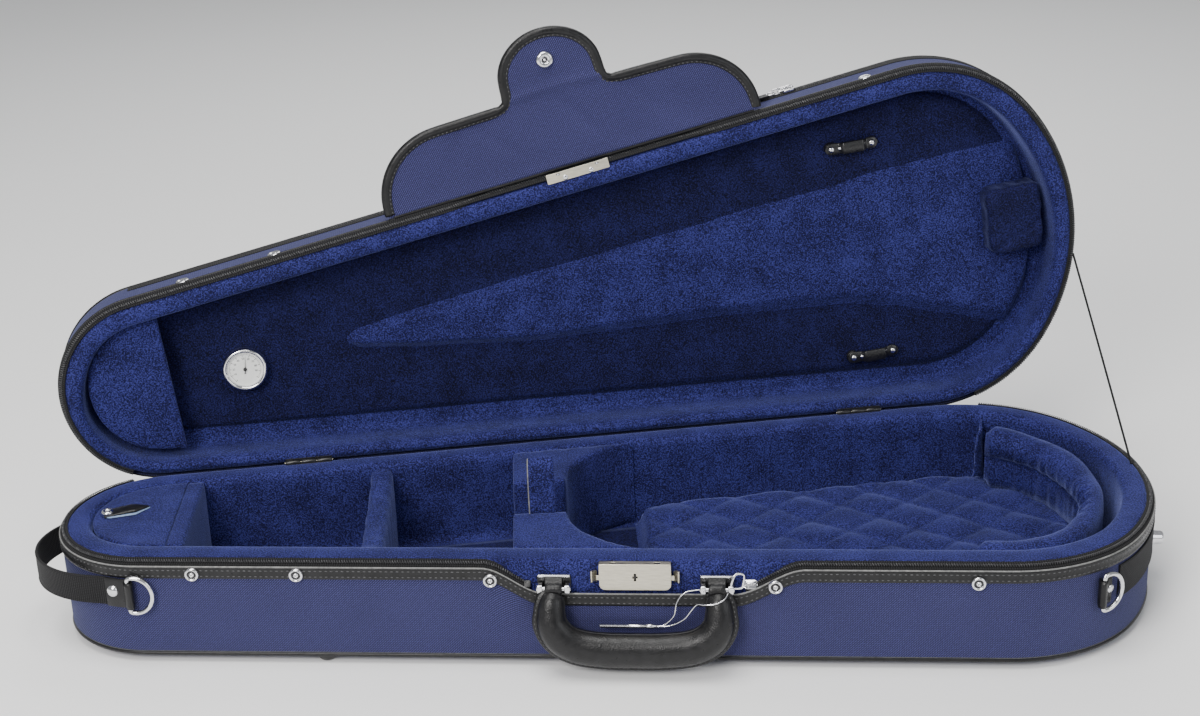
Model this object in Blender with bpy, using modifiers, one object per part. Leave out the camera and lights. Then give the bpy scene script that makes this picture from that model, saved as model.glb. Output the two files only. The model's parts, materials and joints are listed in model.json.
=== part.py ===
"""A shaped violin case, standing open: base and lid of plywood, lining, fittings and moving parts.

X runs along the case (narrow end at -X), +Y is the hinge side, +Z is up. The origin is the centre of
the base's underside. Sizes below are in millimetres and are scaled to metres by MM.
"""

import math

import bmesh
import bpy
from mathutils import Matrix, Quaternion, Vector

MM = 0.001
GAP = 0.3  # between pieces that touch

# ---- driving dimensions (mm) ---------------------------------------------------------------
LENGTH = 790.0
TIP_R = 72.3  # round narrow end
HALF_WIDTH = 139.0
CORNER_R = 108.6  # corners of the wide end
END_R = 158.7  # flatter arc between those corners
BASE_RIM = 70.3  # outer edge of the base's rim
MID_Z = 75.4  # plane where base and lid meet
LID_TOP = 115.0
WALL = 6.0
BOTTOM_T = 4.5
LINING_BASE = 22.0  # inset of the base's inner velvet wall
LINING_LID = 20.0
OPEN_ANGLE = 92.5  # how far the lid leans back, in degrees
RIM_SLOPE = MID_Z - BASE_RIM  # the rims are cut at 45 degrees over this height
AXIS_INSET = RIM_SLOPE - 0.3  # hinge axis, inside the rear wall's face
HINGE_AT = (106.0, 539.0)  # along the straight rear side
HINGE_LEN = 36.0
LOCK_S = 346.3  # along the straight front side, from its narrow-end start
FEET = ((-203.0, -79.0), (-203.0, 79.0), (250.0, -105.0), (250.0, 105.0))
FOOT_H = 5.0
END_FOOT_Y = 22.0
DIP_DEPTH = 19.0  # how far the trim dips round the lock
LID_DIP = 0.32  # the lid's zip rises by this share of the dip
ZIP_ENDS = (-72.0, 74.0)  # the base's zip stops at the handle's brackets, each side of the lock
HANDLE_HALF = 55.5
PIN_D, PIN_Z = 4.5, 57.5  # handle pin: out from the wall, height
STUDS = ((40.6, 65.5), (113.5, 65.5), (247.6, 62.2), (441.4, 58.6), (576.8, 62.2))  # along, height
COMPARTMENT_X = (-300.0, -178.0, -160.0, -69.0)
BLOCK_X = (-30.0, 36.0)  # the neck block's curved ends lie between these
NECK_HALF = 27.0  # half the opening for the neck
HATCH_X = -312.5
TAB_AT = (-349.5, 5.0, 0.3)  # the hatch's leather tab: x, y and turn
NOTCH = (50.0, 40.0)  # width of the neck block's notch, height of its floor
NECK_STRAP_X, NECK_STRAP_W = -48.0, 17.0
PAD_X, PAD_T = (24.0, 44.0, 60.0), 18.0  # the pad's left edge, and its thickness
BOLSTER_INSETS = (29.0, 46.0)
BOLSTER_START, BOLSTER_END = 246.0, 305.0  # x of its front and rear ends
BOLSTER_LIFT, BOLSTER_H = 18.4, 47.0  # above the base lining's underside
LOCK_Z = 65.0
HOOK_X = 15.0  # the strike's hooks, each side of the lock
FLAP_HALF, FLAP_DEPTH = 144.0, 57.0
TONGUE_HALF, TONGUE_END = 37.0, 104.0
FLAP_D, FLAP_Z = 3.0, 82.4
STRAP_OFF = (math.radians(158), math.radians(244))  # the end strap stands off between these
STRAP_STAND = 17.0
POCKET_S, POCKET_Z = 520.0, 107.0  # slider of the lid pocket's zip

# ---- outline of the case ---------------------------------------------------------------------
TIP_X = -LENGTH / 2 + TIP_R
END_X = LENGTH / 2 - END_R
CORNER_Y = HALF_WIDTH - CORNER_R
CORNER_X = END_X + math.sqrt((END_R - CORNER_R) ** 2 - CORNER_Y**2)
TAPER = math.atan2(CORNER_Y, CORNER_X - TIP_X) + math.asin(
    (CORNER_R - TIP_R) / math.hypot(CORNER_X - TIP_X, CORNER_Y)
)
JOIN = math.atan2(CORNER_Y, CORNER_X - END_X)  # where corner and end arcs meet
SIDE_START = Vector((TIP_X - TIP_R * math.sin(TAPER), TIP_R * math.cos(TAPER), 0))
FRONT_DIR = Vector((math.cos(TAPER), -math.sin(TAPER), 0))
REAR_DIR = Vector((math.cos(TAPER), math.sin(TAPER), 0))

# ---- colours, linear -------------------------------------------------------------------------
CANVAS = ("canvas", (0.055, 0.063, 0.19), 0.85, 0.0)
VELVET = ("velvet", (0.03, 0.045, 0.25), 0.95, 0.0)
LEATHER = ("leather", (0.015, 0.015, 0.016), 0.45, 0.0)
WEBBING = ("webbing", (0.012, 0.012, 0.013), 0.8, 0.0)
CHROME = ("chrome", (0.8, 0.8, 0.82), 0.12, 1.0)
NICKEL = ("nickel", (0.55, 0.52, 0.44), 0.35, 1.0)
PLASTIC = ("black_plastic", (0.012, 0.012, 0.013), 0.3, 0.0)

for item in list(bpy.data.objects):
    bpy.data.objects.remove(item, do_unlink=True)

parts = bpy.data.collections.new("violin_case")
cutters = bpy.data.collections.new("cutters")
bpy.context.scene.collection.children.link(parts)
bpy.context.scene.collection.children.link(cutters)


# ---- helpers ---------------------------------------------------------------------------------
def material(spec):
    name, colour, roughness, metallic = spec
    found = bpy.data.materials.get(name)
    if found:
        return found
    made = bpy.data.materials.new(name)
    made.use_nodes = True
    shader = made.node_tree.nodes["Principled BSDF"]
    shader.inputs["Base Color"].default_value = (*colour, 1)
    shader.inputs["Roughness"].default_value = roughness
    shader.inputs["Metallic"].default_value = metallic
    made.diffuse_color = (*colour, 1)
    return made


def add(name, data, spec, matrix=None):
    """Links an object to the parts, or to the cutters when it has no material."""
    obj = bpy.data.objects.new(name, data)
    if matrix is not None:
        obj.matrix_world = matrix
    if spec is None:
        cutters.objects.link(obj)
        obj.hide_render = True
        obj.display_type = "WIRE"
    else:
        parts.objects.link(obj)
        data.materials.append(material(spec))
    return obj


def mesh_from(name, mesh_data, spec, matrix=None, smooth=False):
    bmesh.ops.recalc_face_normals(mesh_data, faces=mesh_data.faces)
    mesh = bpy.data.meshes.new(name)
    mesh_data.to_mesh(mesh)
    mesh_data.free()
    if smooth:
        mesh.shade_smooth()
        mesh.set_sharp_from_angle(angle=math.radians(40))
    return add(name, mesh, spec, matrix)


def box(name, size, spec, matrix):
    """A box of size mm, centred on the matrix's place."""
    bm = bmesh.new()
    bmesh.ops.create_cube(bm, size=1, matrix=Matrix.Diagonal((*[s * MM for s in size], 1)))
    return mesh_from(name, bm, spec, matrix)


def cylinder(name, r_low, r_high, length, spec, matrix, sides=16):
    """A cylinder or cone along the matrix's Z, centred on it."""
    bm = bmesh.new()
    bmesh.ops.create_cone(
        bm, cap_ends=True, segments=sides, radius1=r_low * MM, radius2=r_high * MM, depth=length * MM
    )
    return mesh_from(name, bm, spec, matrix, smooth=True)


def turned(name, profile, spec, matrix, steps=20):
    """A solid of revolution about the matrix's Z, from (radius, height) points, top to bottom."""
    mesh = bpy.data.meshes.new(name)
    points = [(r * MM, 0, z * MM) for r, z in profile]
    mesh.from_pydata(points, [(i, i + 1) for i in range(len(points) - 1)], [])
    obj = add(name, mesh, spec, matrix)
    screw = obj.modifiers.new("turn", "SCREW")
    screw.steps = screw.render_steps = steps
    screw.use_merge_vertices = True
    screw.merge_threshold = 0.00001
    return obj


def solid_curve(name, points, spec, matrix=None, radius=1.0, radii=None, cyclic=False, resolution=2):
    """A tube through points in mm, made a mesh so that it can be cut and joined."""
    curve = bpy.data.curves.new(name, "CURVE")
    curve.dimensions = "3D"
    curve.bevel_depth = radius * MM
    curve.bevel_resolution = resolution
    curve.use_fill_caps = not cyclic
    spline = curve.splines.new("POLY")
    spline.points.add(len(points) - 1)
    for i, point in enumerate(points):
        spline.points[i].co = (*[c * MM for c in point], 1)
        spline.points[i].radius = radii[i] / radius if radii else 1
    spline.use_cyclic_u = cyclic
    return curve_to_mesh(name, curve, spec, matrix, smooth=True)


def plate(name, shape, thickness, spec, matrix):
    """A flat plate: its shape in the matrix's XY, its thickness along Z, centred."""
    curve = bpy.data.curves.new(name, "CURVE")
    curve.dimensions = "2D"
    curve.fill_mode = "BOTH"
    curve.extrude = thickness / 2 * MM
    spline = curve.splines.new("POLY")
    spline.points.add(len(shape) - 1)
    for i, (x, y) in enumerate(shape):
        spline.points[i].co = (x * MM, y * MM, 0, 1)
    spline.use_cyclic_u = True
    return curve_to_mesh(name, curve, spec, matrix)


def curve_to_mesh(name, curve, spec, matrix, smooth=False):
    source = bpy.data.objects.new(name + "_curve", curve)
    cutters.objects.link(source)
    graph = bpy.context.evaluated_depsgraph_get()
    mesh = bpy.data.meshes.new_from_object(source.evaluated_get(graph))
    bpy.data.objects.remove(source, do_unlink=True)
    bm = bmesh.new()
    bm.from_mesh(mesh)
    bmesh.ops.remove_doubles(bm, verts=bm.verts, dist=0.00001)
    bpy.data.meshes.remove(mesh)
    return mesh_from(name, bm, spec, matrix, smooth=smooth)


def loft(name, rings, spec, closed=False):
    """Joins rings of equal length: a ring of sections when closed, or else capped at both ends."""
    bm = bmesh.new()
    rows = [[bm.verts.new([c * MM for c in p]) for p in ring] for ring in rings]
    count = len(rows[0])
    pairs = list(zip(rows, rows[1:] + ([rows[0]] if closed else [])))
    for low, high in pairs:
        for i in range(count):
            j = (i + 1) % count
            bm.faces.new((low[i], low[j], high[j], high[i]))
    if not closed:
        bm.faces.new(rows[0])
        bm.faces.new(rows[-1])
    return mesh_from(name, bm, spec, smooth=True)


def soften(obj, width):
    bevel = obj.modifiers.new("edge", "BEVEL")
    bevel.width = width * MM
    bevel.segments = 1
    bevel.limit_method = "ANGLE"


def boolean(obj, other, operation):
    modifier = obj.modifiers.new(operation.lower(), "BOOLEAN")
    modifier.operation = operation
    modifier.object = other
    other.parent = obj
    other.matrix_parent_inverse = obj.matrix_world.inverted()


def cut(obj, cutter):
    boolean(obj, cutter, "DIFFERENCE")


def join(obj, *others):
    """Unites others, which become helpers, with obj."""
    for other in others:
        boolean(obj, other, "UNION")


# ---- places on the case ------------------------------------------------------------------------
def arc_points(centre, radius, start, end, steps):
    return [
        (
            centre[0] + radius * math.cos(start + (end - start) * i / steps),
            centre[1] + radius * math.sin(start + (end - start) * i / steps),
        )
        for i in range(steps + 1)
    ]


def outline(inset, z=None, tip_steps=14, corner_steps=8, end_steps=6):
    """The case's outline, anticlockwise from the middle of the wide end, moved in by inset."""
    quarter = math.pi / 2
    half = arc_points((END_X, 0), END_R - inset, 0, JOIN, end_steps // 2)
    half += arc_points((CORNER_X, CORNER_Y), CORNER_R - inset, JOIN, quarter + TAPER, corner_steps)[1:]
    half += arc_points((TIP_X, 0), TIP_R - inset, quarter + TAPER, math.pi, tip_steps // 2)
    points = half + [(x, -y) for x, y in reversed(half[1:-1])]
    return points if z is None else [(x, y, z) for x, y in points]


def dip(s):
    """How far the base's rim line drops at s along the front side."""
    away = s - LOCK_S
    near, far = (62.0, 105.0) if away < 0 else (66.0, 115.0)
    t = min(max((far - abs(away)) / (far - near), 0), 1)
    return DIP_DEPTH * t * t * (3 - 2 * t)


def rim_path(rear_clear, dip_steps=22):
    """(x, y, outward, dip) from the rear of the tip, round the front, to the rear of the wide end."""
    quarter = math.pi / 2
    stops = []
    for a in [quarter + TAPER + rear_clear + i * (math.pi - 2 * TAPER - rear_clear) / 16 for i in range(17)]:
        stops.append((TIP_X, 0, TIP_R, a))
    path = [(cx + r * math.cos(a), cy + r * math.sin(a), a, 0) for cx, cy, r, a in stops]
    first, last = LOCK_S - 110, LOCK_S + 120
    stations = [first + (last - first) * i / dip_steps for i in range(dip_steps + 1)]
    for s in sorted(stations + [LOCK_S + ZIP_ENDS[0], LOCK_S + ZIP_ENDS[1]]):
        p = front_point(s, 0, 0)
        path.append((p.x, p.y, -quarter - TAPER, dip(s)))
    for a in [-quarter - TAPER + i * (quarter + TAPER - JOIN) / 9 for i in range(10)]:
        path.append((CORNER_X + CORNER_R * math.cos(a), -CORNER_Y + CORNER_R * math.sin(a), a, 0))
    for a in [-JOIN + 2 * JOIN * i / 6 for i in range(1, 7)]:
        path.append((END_X + END_R * math.cos(a), END_R * math.sin(a), a, 0))
    for a in [JOIN + i * (quarter + TAPER - rear_clear - JOIN) / 9 for i in range(1, 10)]:
        path.append((CORNER_X + CORNER_R * math.cos(a), CORNER_Y + CORNER_R * math.sin(a), a, 0))
    return path


def rim_strip(name, section, spec, path, lid=False):
    """A strip along the rim: section is (outward, height) points about the rim's outer edge."""
    rings = []
    for out, up in section:
        ring = []
        for x, y, a, drop in path:
            z = 2 * MID_Z - (BASE_RIM + up) + drop * LID_DIP if lid else BASE_RIM + up - drop
            ring.append((x + out * math.cos(a), y + out * math.sin(a), z))
        rings.append(ring)
    bm = bmesh.new()
    rows = [[bm.verts.new([c * MM for c in p]) for p in ring] for ring in rings]
    for low, high in zip(rows, rows[1:] + rows[:1]):
        for i in range(len(path) - 1):
            bm.faces.new((low[i], low[i + 1], high[i + 1], high[i]))
    bm.faces.new([row[0] for row in rows])
    bm.faces.new([row[-1] for row in rows])
    return mesh_from(name, bm, spec, smooth=True)


def front_point(s, out, z):
    """A point s along the straight front side, out from its wall."""
    start = Vector((SIDE_START.x, -SIDE_START.y, 0))
    return start + FRONT_DIR * s + Vector((-math.sin(TAPER), -math.cos(TAPER), 0)) * out + Vector((0, 0, z))


def front(s, out, z):
    """A frame on the front wall: X along it, -Y out of it, Z up."""
    return Matrix.Translation(front_point(s, out, z) * MM) @ Matrix.Rotation(-TAPER, 4, "Z")


def facing_out(s, out, z):
    """As front, but with Z out of the wall and Y up."""
    return front(s, out, z) @ Matrix.Rotation(math.radians(90), 4, "X")


def rear(s, out, z):
    """A frame on the rear wall: X along it, Y out of it, Z up."""
    place = SIDE_START + REAR_DIR * s + Vector((-math.sin(TAPER), math.cos(TAPER), 0)) * out
    return Matrix.Translation(Vector((place.x, place.y, z)) * MM) @ Matrix.Rotation(TAPER, 4, "Z")


def at(x, y, z):
    return Matrix.Translation(Vector((x, y, z)) * MM)


def round_wall(a, radius_out, z, centre=(TIP_X, 0.0), radius=TIP_R):
    """A frame on a curved wall: Z out of the wall, Y up."""
    place = Vector(
        (centre[0] + (radius + radius_out) * math.cos(a), centre[1] + (radius + radius_out) * math.sin(a), z)
    )
    turn = Matrix.Rotation(a + math.pi / 2, 4, "Z") @ Matrix.Rotation(math.radians(90), 4, "X")
    return Matrix.Translation(place * MM) @ turn


def joint_empty(name, place, parent=None):
    """An empty on a joint's axis, at a place of the closed case."""
    empty = bpy.data.objects.new(name, None)
    empty.empty_display_size = 0.02
    parts.objects.link(empty)
    empty.location = place * MM
    if parent:
        attach(empty, parent)
    return empty


def attach(obj, parent):
    """Parents obj, which was made where it is on the closed case, to an axis empty."""
    obj.parent = parent
    obj.matrix_parent_inverse = Matrix.Translation(-parent.location)


# ---- base --------------------------------------------------------------------------------------
def make_hinge_cutter(s, lid):
    """Room for a hinge's barrel and for one of its leaves."""
    side = -1 if lid else 1
    name = f"hinge_room_{'lid' if lid else 'base'}_{int(s)}"
    barrel = box(name, (HINGE_LEN + 0.8, 8.4, 8), None, rear(s, -AXIS_INSET - 0.6, MID_Z + side * 1.1))
    leaf_room = (HINGE_LEN + 1.0, 15.6, 4)
    return barrel, box(name + "_leaf", leaf_room, None, rear(s, -AXIS_INSET - 5.6, MID_Z - side * 0.2))


def make_base_shell():
    cut_back = RIM_SLOPE - 1.9  # the velvet covers the rest of the slope
    rings = [(3.6, 0), (1, 1), (0, 3.6), (0, BASE_RIM), (cut_back, BASE_RIM + cut_back)]
    rings += [(WALL, BASE_RIM + cut_back), (WALL, BOTTOM_T)]
    shell = loft("base_shell", [outline(i, z) for i, z in rings], CANVAS)
    shape = [(s, BASE_RIM - 1.2 - dip(s)) for s in [LOCK_S - 100 + 7 * i for i in range(31)]]
    shape += [(LOCK_S + 110, BASE_RIM + 9), (LOCK_S - 100, BASE_RIM + 9)]
    shift = [(s - LOCK_S, z) for s, z in shape]
    cut(shell, plate("dip_room", shift, 16, None, facing_out(LOCK_S, 3, 0)))
    for s in HINGE_AT:
        for room in make_hinge_cutter(s, lid=False):
            cut(shell, room)
    return shell


def make_base_lining():
    wall = WALL + GAP
    top = MID_Z - GAP
    section = [(wall, BOTTOM_T + GAP), (wall, top - 1.3), (RIM_SLOPE - 1.4, top - 1.3), (RIM_SLOPE, top)]
    section += [(LINING_BASE - 2, top), (LINING_BASE, top - 2), (LINING_BASE, BOTTOM_T + GAP)]
    lining = loft("base_lining", [outline(i, z) for i, z in section], VELVET, closed=True)
    for s in HINGE_AT:
        for room in make_hinge_cutter(s, lid=False):
            cut(lining, room)
    return lining


def inner_y(x, inset):
    """Half the width inside the lining at x, on the straight sides."""
    return SIDE_START.y + (x - SIDE_START.x) * math.tan(TAPER) - inset / math.cos(TAPER)


def make_interior():
    low, top = BOTTOM_T + GAP, MID_Z - GAP
    clear = LINING_BASE + GAP
    x0, x1, x2, x3 = COMPARTMENT_X

    def cross_wall(name, a, b, height):
        ya, yb = inner_y(a, clear), inner_y(b, clear)
        centre = (a + b) / 2
        shape = [(a - centre, -ya), (b - centre, -yb), (b - centre, yb), (a - centre, ya)]
        return plate(name, shape, height - low, VELVET, at(centre, 0, (low + height) / 2))

    cross_wall("tip_wall", HATCH_X, x0, top)
    cross_wall("divider", x1, x2, top - 3)

    hatch_pts = [p for p in outline(clear + 0.2) if p[0] < HATCH_X - GAP]
    edge = HATCH_X - GAP
    half = inner_y(edge, clear + 0.2)
    hatch_pts.sort(key=lambda p: math.atan2(p[1], TIP_X - p[0]), reverse=True)
    hatch_pts = [(edge, half)] + hatch_pts
    hatch_pts += [(edge, -half)]
    hatch_axis = joint_empty("hatch_axis", Vector((edge, 0, top)))
    hatch = plate("tip_hatch", hatch_pts, 4, VELVET, at(0, 0, top - 2))
    attach(hatch, hatch_axis)
    tab_shape = [(-17, -4), (-13, -6), (6, -7.5), (17, 0), (6, 7.5), (-13, 6), (-17, 4)]
    tab_place = at(*TAB_AT[:2], top + 1.1) @ Matrix.Rotation(TAB_AT[2], 4, "Z")
    tab = plate("hatch_tab", tab_shape, 1.6, LEATHER, tab_place)
    attach(tab, hatch_axis)

    def block_edge(x):
        """Half the cavity's width where the block's curved end meets it."""
        t = (x - BLOCK_X[0]) / (BLOCK_X[1] - BLOCK_X[0])
        return NECK_HALF + (inner_y(x, clear) - NECK_HALF) * math.sqrt(1 - (1 - t) ** 2)

    steps = [BLOCK_X[0] + (BLOCK_X[1] - BLOCK_X[0]) * (i / 10) ** 1.6 for i in range(11)]
    side = [(x, -block_edge(x)) for x in steps]
    back = inner_y(x3, clear)
    shape = [(x3, -back)] + side[::-1] + [(x, -y) for x, y in side] + [(x3, back)]
    block = plate("neck_block", shape, top - low, VELVET, at(0, 0, (low + top) / 2))
    notch = box("notch_room", (140, NOTCH[0], 40), None, at(x3 / 2, 0, NOTCH[1] + 20))
    cut(block, notch)

    strap_axis = joint_empty("neck_strap_axis", Vector((NECK_STRAP_X, -26.5, top)))
    strap_side = [(0, 0.6), (1.6, 0.6), (5, 14), (6.5, 27), (12, 37), (10.5, 38.5), (4.5, 28), (3, 14)]
    across = Matrix(((0, 0, 1, 0), (1, 0, 0, 0), (0, 1, 0, 0), (0, 0, 0, 1)))  # plate's X, Y to Y, Z
    strap = plate("neck_strap", strap_side, NECK_STRAP_W, VELVET, at(NECK_STRAP_X, -29, top) @ across)
    attach(strap, strap_axis)

    pad = [(x, y) for x, y in outline(LINING_BASE + 1.0) if x > PAD_X[2]]
    corner = [(PAD_X[1], inner_y(PAD_X[1], LINING_BASE + 1.5)), (PAD_X[0], 78)]
    left = corner + [(x, -y) for x, y in reversed(corner)]
    pad = sorted(pad, key=lambda p: math.atan2(p[1], p[0] - 100)) + left
    box_pad = plate("floor_pad", pad, PAD_T, VELVET, at(0, 0, low + PAD_T / 2))
    soften(box_pad, 3)

    def bend(inset):
        """The wide end's outline at inset, from the bolster's front end round to its rear end."""
        ring = outline(inset, corner_steps=10)
        ring = [p for p in ring if p[0] > (BOLSTER_START if p[1] < 0 else BOLSTER_END)]
        ring = sorted(ring, key=lambda p: math.atan2(p[1], p[0] - 150))
        return [(BOLSTER_START, -inner_y(BOLSTER_START, inset))] + ring

    outer, inner = (bend(inset) for inset in BOLSTER_INSETS)
    middle = low + BOLSTER_LIFT + BOLSTER_H / 2
    bolster = plate("bolster", outer + inner[::-1], BOLSTER_H, VELVET, at(0, 0, middle))
    soften(bolster, 4)


def make_rim_trim():
    path = rim_path(math.radians(20))
    rim_strip("base_trim", [(GAP, 0.4), (1.5, 0.2), (1.5, -8.6), (GAP, -8.6)], LEATHER, path)
    # The zip tape lies on the sloping edge of the rim.
    tape = [(0.2, 0.7), (-2.0, 2.9), (-3.2, 4.3), (-2.4, 4.7), (0.6, 1.6), (1.2, 0.8)]
    left_x = front_point(LOCK_S + ZIP_ENDS[0], 0, 0).x + 0.01
    right_x = front_point(LOCK_S + ZIP_ENDS[1], 0, 0).x - 0.01
    middle = next(i for i, p in enumerate(path) if p[0] > front_point(LOCK_S, 0, 0).x and p[1] < 0)
    rim_strip("base_zip_left", tape, WEBBING, [p for p in path[:middle] if p[0] < left_x])
    rim_strip("base_zip_right", tape, WEBBING, [p for p in path[middle:] if p[0] > right_x])
    return rim_strip("lid_zip", tape, WEBBING, path, lid=True)


def make_studs():
    head = [(0, 2.2), (2.0, 2.4), (2.6, 1.7), (3.6, 1.7), (5, 1.2), (5, 0), (0, 0)]
    for number, (s, z) in enumerate(STUDS, 1):
        turned(f"rivet_{number}", head, CHROME, facing_out(s, 1.5 + GAP, z), steps=16)


def make_feet():
    for number, (x, y) in enumerate(FEET, 1):
        profile = [(0, -GAP), (6.5, -GAP), (6.3, -2), (4, -FOOT_H), (0, -FOOT_H)]
        turned(f"foot_{number}", profile, PLASTIC, at(x, y, 0), steps=16)
    for number, y in enumerate((-END_FOOT_Y, END_FOOT_Y), 1):
        a = math.asin(y / END_R)
        profile = [(0, 12), (3.6, 11.5), (4.8, 10), (6.4, 3), (6.4, 2.2), (0, 2.2)]
        place = round_wall(a, 0, 30, centre=(END_X, 0), radius=END_R)
        turned(f"end_foot_{number}", profile, CHROME, place, steps=20)


def make_lock():
    body = box("lock_plate", (49, 4.2, 20.2), NICKEL, front(LOCK_S, -0.6, LOCK_Z))
    cut(body, box("slider_room", (60, 2.2, 4.8), None, front(LOCK_S, -2.2, LOCK_Z - 2)))
    cut(body, cylinder("plug_room", 3.6, 3.6, 3, None, facing_out(LOCK_S, 1.1, LOCK_Z + 1.5)))
    for side in (-1, 1):
        place = front(LOCK_S + side * HOOK_X, -0.6, LOCK_Z + 7)
        cut(body, box(f"hook_room_{side}", (5, 2.7, 13), None, place))
    bar = box("lock_slider", (59, 1.2, 3.8), NICKEL, front(LOCK_S, -1.95, LOCK_Z - 2))
    ears = [
        box(f"slider_ear_{side}", (3.2, 5.4, 8.5), None, front(LOCK_S + side * 28.6, 0.1, LOCK_Z))
        for side in (-1, 1)
    ]
    join(bar, *ears)
    turned(
        "lock_plug",
        [(0, 2.0), (2.8, 2.0), (3.3, 1.5), (3.3, 0), (0, 0)],
        NICKEL,
        facing_out(LOCK_S, GAP - 0.2, LOCK_Z + 1.5),
        steps=16,
    )
    return body


def make_handle():
    for name, side in (("left", -1), ("right", 1)):
        s = LOCK_S + side * HANDLE_HALF
        back = box(f"handle_bracket_{name}", (21, 1.5, 11), CHROME, front(s, -1.9, 58.5))
        ears = [
            box(f"bracket_ear_{name}_{e}", (3.4, 8.6, 6.6), None, front(s + e * 8.6, 2.9, PIN_Z))
            for e in (-1, 1)
        ]
        turn = Matrix.Rotation(math.radians(90), 4, "Y")
        pin = cylinder(f"bracket_pin_{name}", 1.6, 1.6, 17, None, front(s, PIN_D, PIN_Z) @ turn, sides=12)
        join(back, *ears, pin)
    half = [(HANDLE_HALF, 6.0, 54.8, 4.6), (HANDLE_HALF + 1, 7.4, 51.0, 5.6)]
    half += [(HANDLE_HALF + 2.5, 10.4, 44.5, 8.4)]
    half += [(56.5, 13.4, 34, 10.8)]
    half += [(49, 14.2, 23.5, 12.0), (36, 14.4, 17.6, 12.5), (18, 14.4, 15.8, 12.5)]
    run = [(-x, -d, z, r) for x, d, z, r in half] + [(0, -14.4, 15.4, 12.5)]
    run += [(x, -d, z, r) for x, d, z, r in reversed(half)]
    points = [(x, y, z - PIN_Z) for x, y, z, _ in run]
    grip = solid_curve(
        "handle", points, LEATHER, front(LOCK_S, 0, PIN_Z),
        radius=10, radii=[r for *_, r in run], resolution=3
    )
    axis = joint_empty("handle_axis", front_point(LOCK_S, PIN_D, PIN_Z))
    turn = Matrix.Rotation(math.radians(90), 4, "Y")
    loops = []
    bores = []
    for side in (-1, 1):
        place = front(LOCK_S + side * HANDLE_HALF, PIN_D, PIN_Z) @ turn
        loops.append(cylinder(f"handle_loop_{side}", 4.1, 4.1, 11.6, None, place, sides=16))
        bores.append(cylinder(f"handle_bore_{side}", 2.0, 2.0, 20, None, place, sides=12))
    join(grip, *loops)
    for bore in bores:
        cut(grip, bore)
    attach(grip, axis)
    key = cylinder("key", 1.6, 1.6, 40, CHROME, front(LOCK_S - 4, 7.5, 31) @ turn, sides=10)
    attach(key, axis)


def make_d_ring(name, place, tab_x):
    """A D-ring whose straight bar stands in a leather tab. place: Z out of the wall, Y up, X along."""
    half, reach, wire = 13.5, 16.5, 1.6
    bar = place @ at(0, 0, 4.2)
    upright = bar @ Matrix.Rotation(math.pi / 2, 4, "X")
    tab = box(f"d_ring_tab_{name}", (7, 22, 1.6), LEATHER, place @ at(tab_x, 0, 1.1))
    join(tab, cylinder(f"tab_loop_{name}", 3.6, 3.6, 21, None, upright, 14))
    cut(tab, cylinder(f"tab_bore_{name}", wire + 0.5, wire + 0.5, 25, None, upright, 12))
    bow = [(0, half, 0), (4, half, 0)]
    bow += [
        (4 + (reach - 4) * math.sin(a), half * math.cos(a), 0)
        for a in [math.pi * i / 12 for i in range(1, 12)]
    ]
    bow += [(4, -half, 0), (0, -half, 0)]
    ring = solid_curve(f"d_ring_{name}", bow, CHROME, bar, radius=wire, cyclic=True)
    attach(ring, joint_empty(f"d_ring_axis_{name}", bar.translation / MM))


def make_straps():
    make_d_ring("left", facing_out(-5, GAP, 50), -4.5)
    corner = math.radians(-62)
    wall_place = round_wall(corner, GAP + 0.5, 46, centre=(CORNER_X, -CORNER_Y), radius=CORNER_R)
    make_d_ring("right", wall_place, 4.5)

    # Webbing band round the wide end.
    angles = [math.radians(-50 + i * 108 / 20) for i in range(21)]
    place = []
    for a in angles:
        if abs(a) <= JOIN:
            place.append((END_X + END_R * math.cos(a), END_R * math.sin(a), a))
        else:
            y = math.copysign(CORNER_Y, a)
            place.append((CORNER_X + CORNER_R * math.cos(a), y + CORNER_R * math.sin(a), a))
    strip("end_band", place, 0.3, 1.5, (34.5, 59.5), WEBBING)

    # Carrying strap: it runs along the wall, stands off the tip and comes back just behind it.
    loop = []
    first, last = math.radians(128), math.radians(250)
    for a in [first + i * (last - first) / 28 for i in range(29)]:
        lift = min(max((a - STRAP_OFF[0]) / (STRAP_OFF[1] - STRAP_OFF[0]), 0), 1)
        radius = TIP_R + 0.4 + STRAP_STAND * (math.sin(math.pi * lift**0.85)) ** 1.2
        loop.append((TIP_X + radius * math.cos(a), radius * math.sin(a), a))
    strip("end_strap", loop, 0.3, 2.3, (40, 61), WEBBING)


def strip(name, place, near, far, span, spec):
    """An upright strip that follows (x, y, angle) points, from near to far out of them."""
    bm = bmesh.new()
    rows = []
    for out, z in ((near, span[0]), (far, span[0]), (far, span[1]), (near, span[1])):
        rows.append(
            [
                bm.verts.new(((x + out * math.cos(a)) * MM, (y + out * math.sin(a)) * MM, z * MM))
                for x, y, a in place
            ]
        )
    for low, high in zip(rows, rows[1:] + rows[:1]):
        for i in range(len(place) - 1):
            bm.faces.new((low[i], low[i + 1], high[i + 1], high[i]))
    bm.faces.new([row[0] for row in rows])
    bm.faces.new([row[-1] for row in rows])
    return mesh_from(name, bm, spec, smooth=True)


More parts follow.
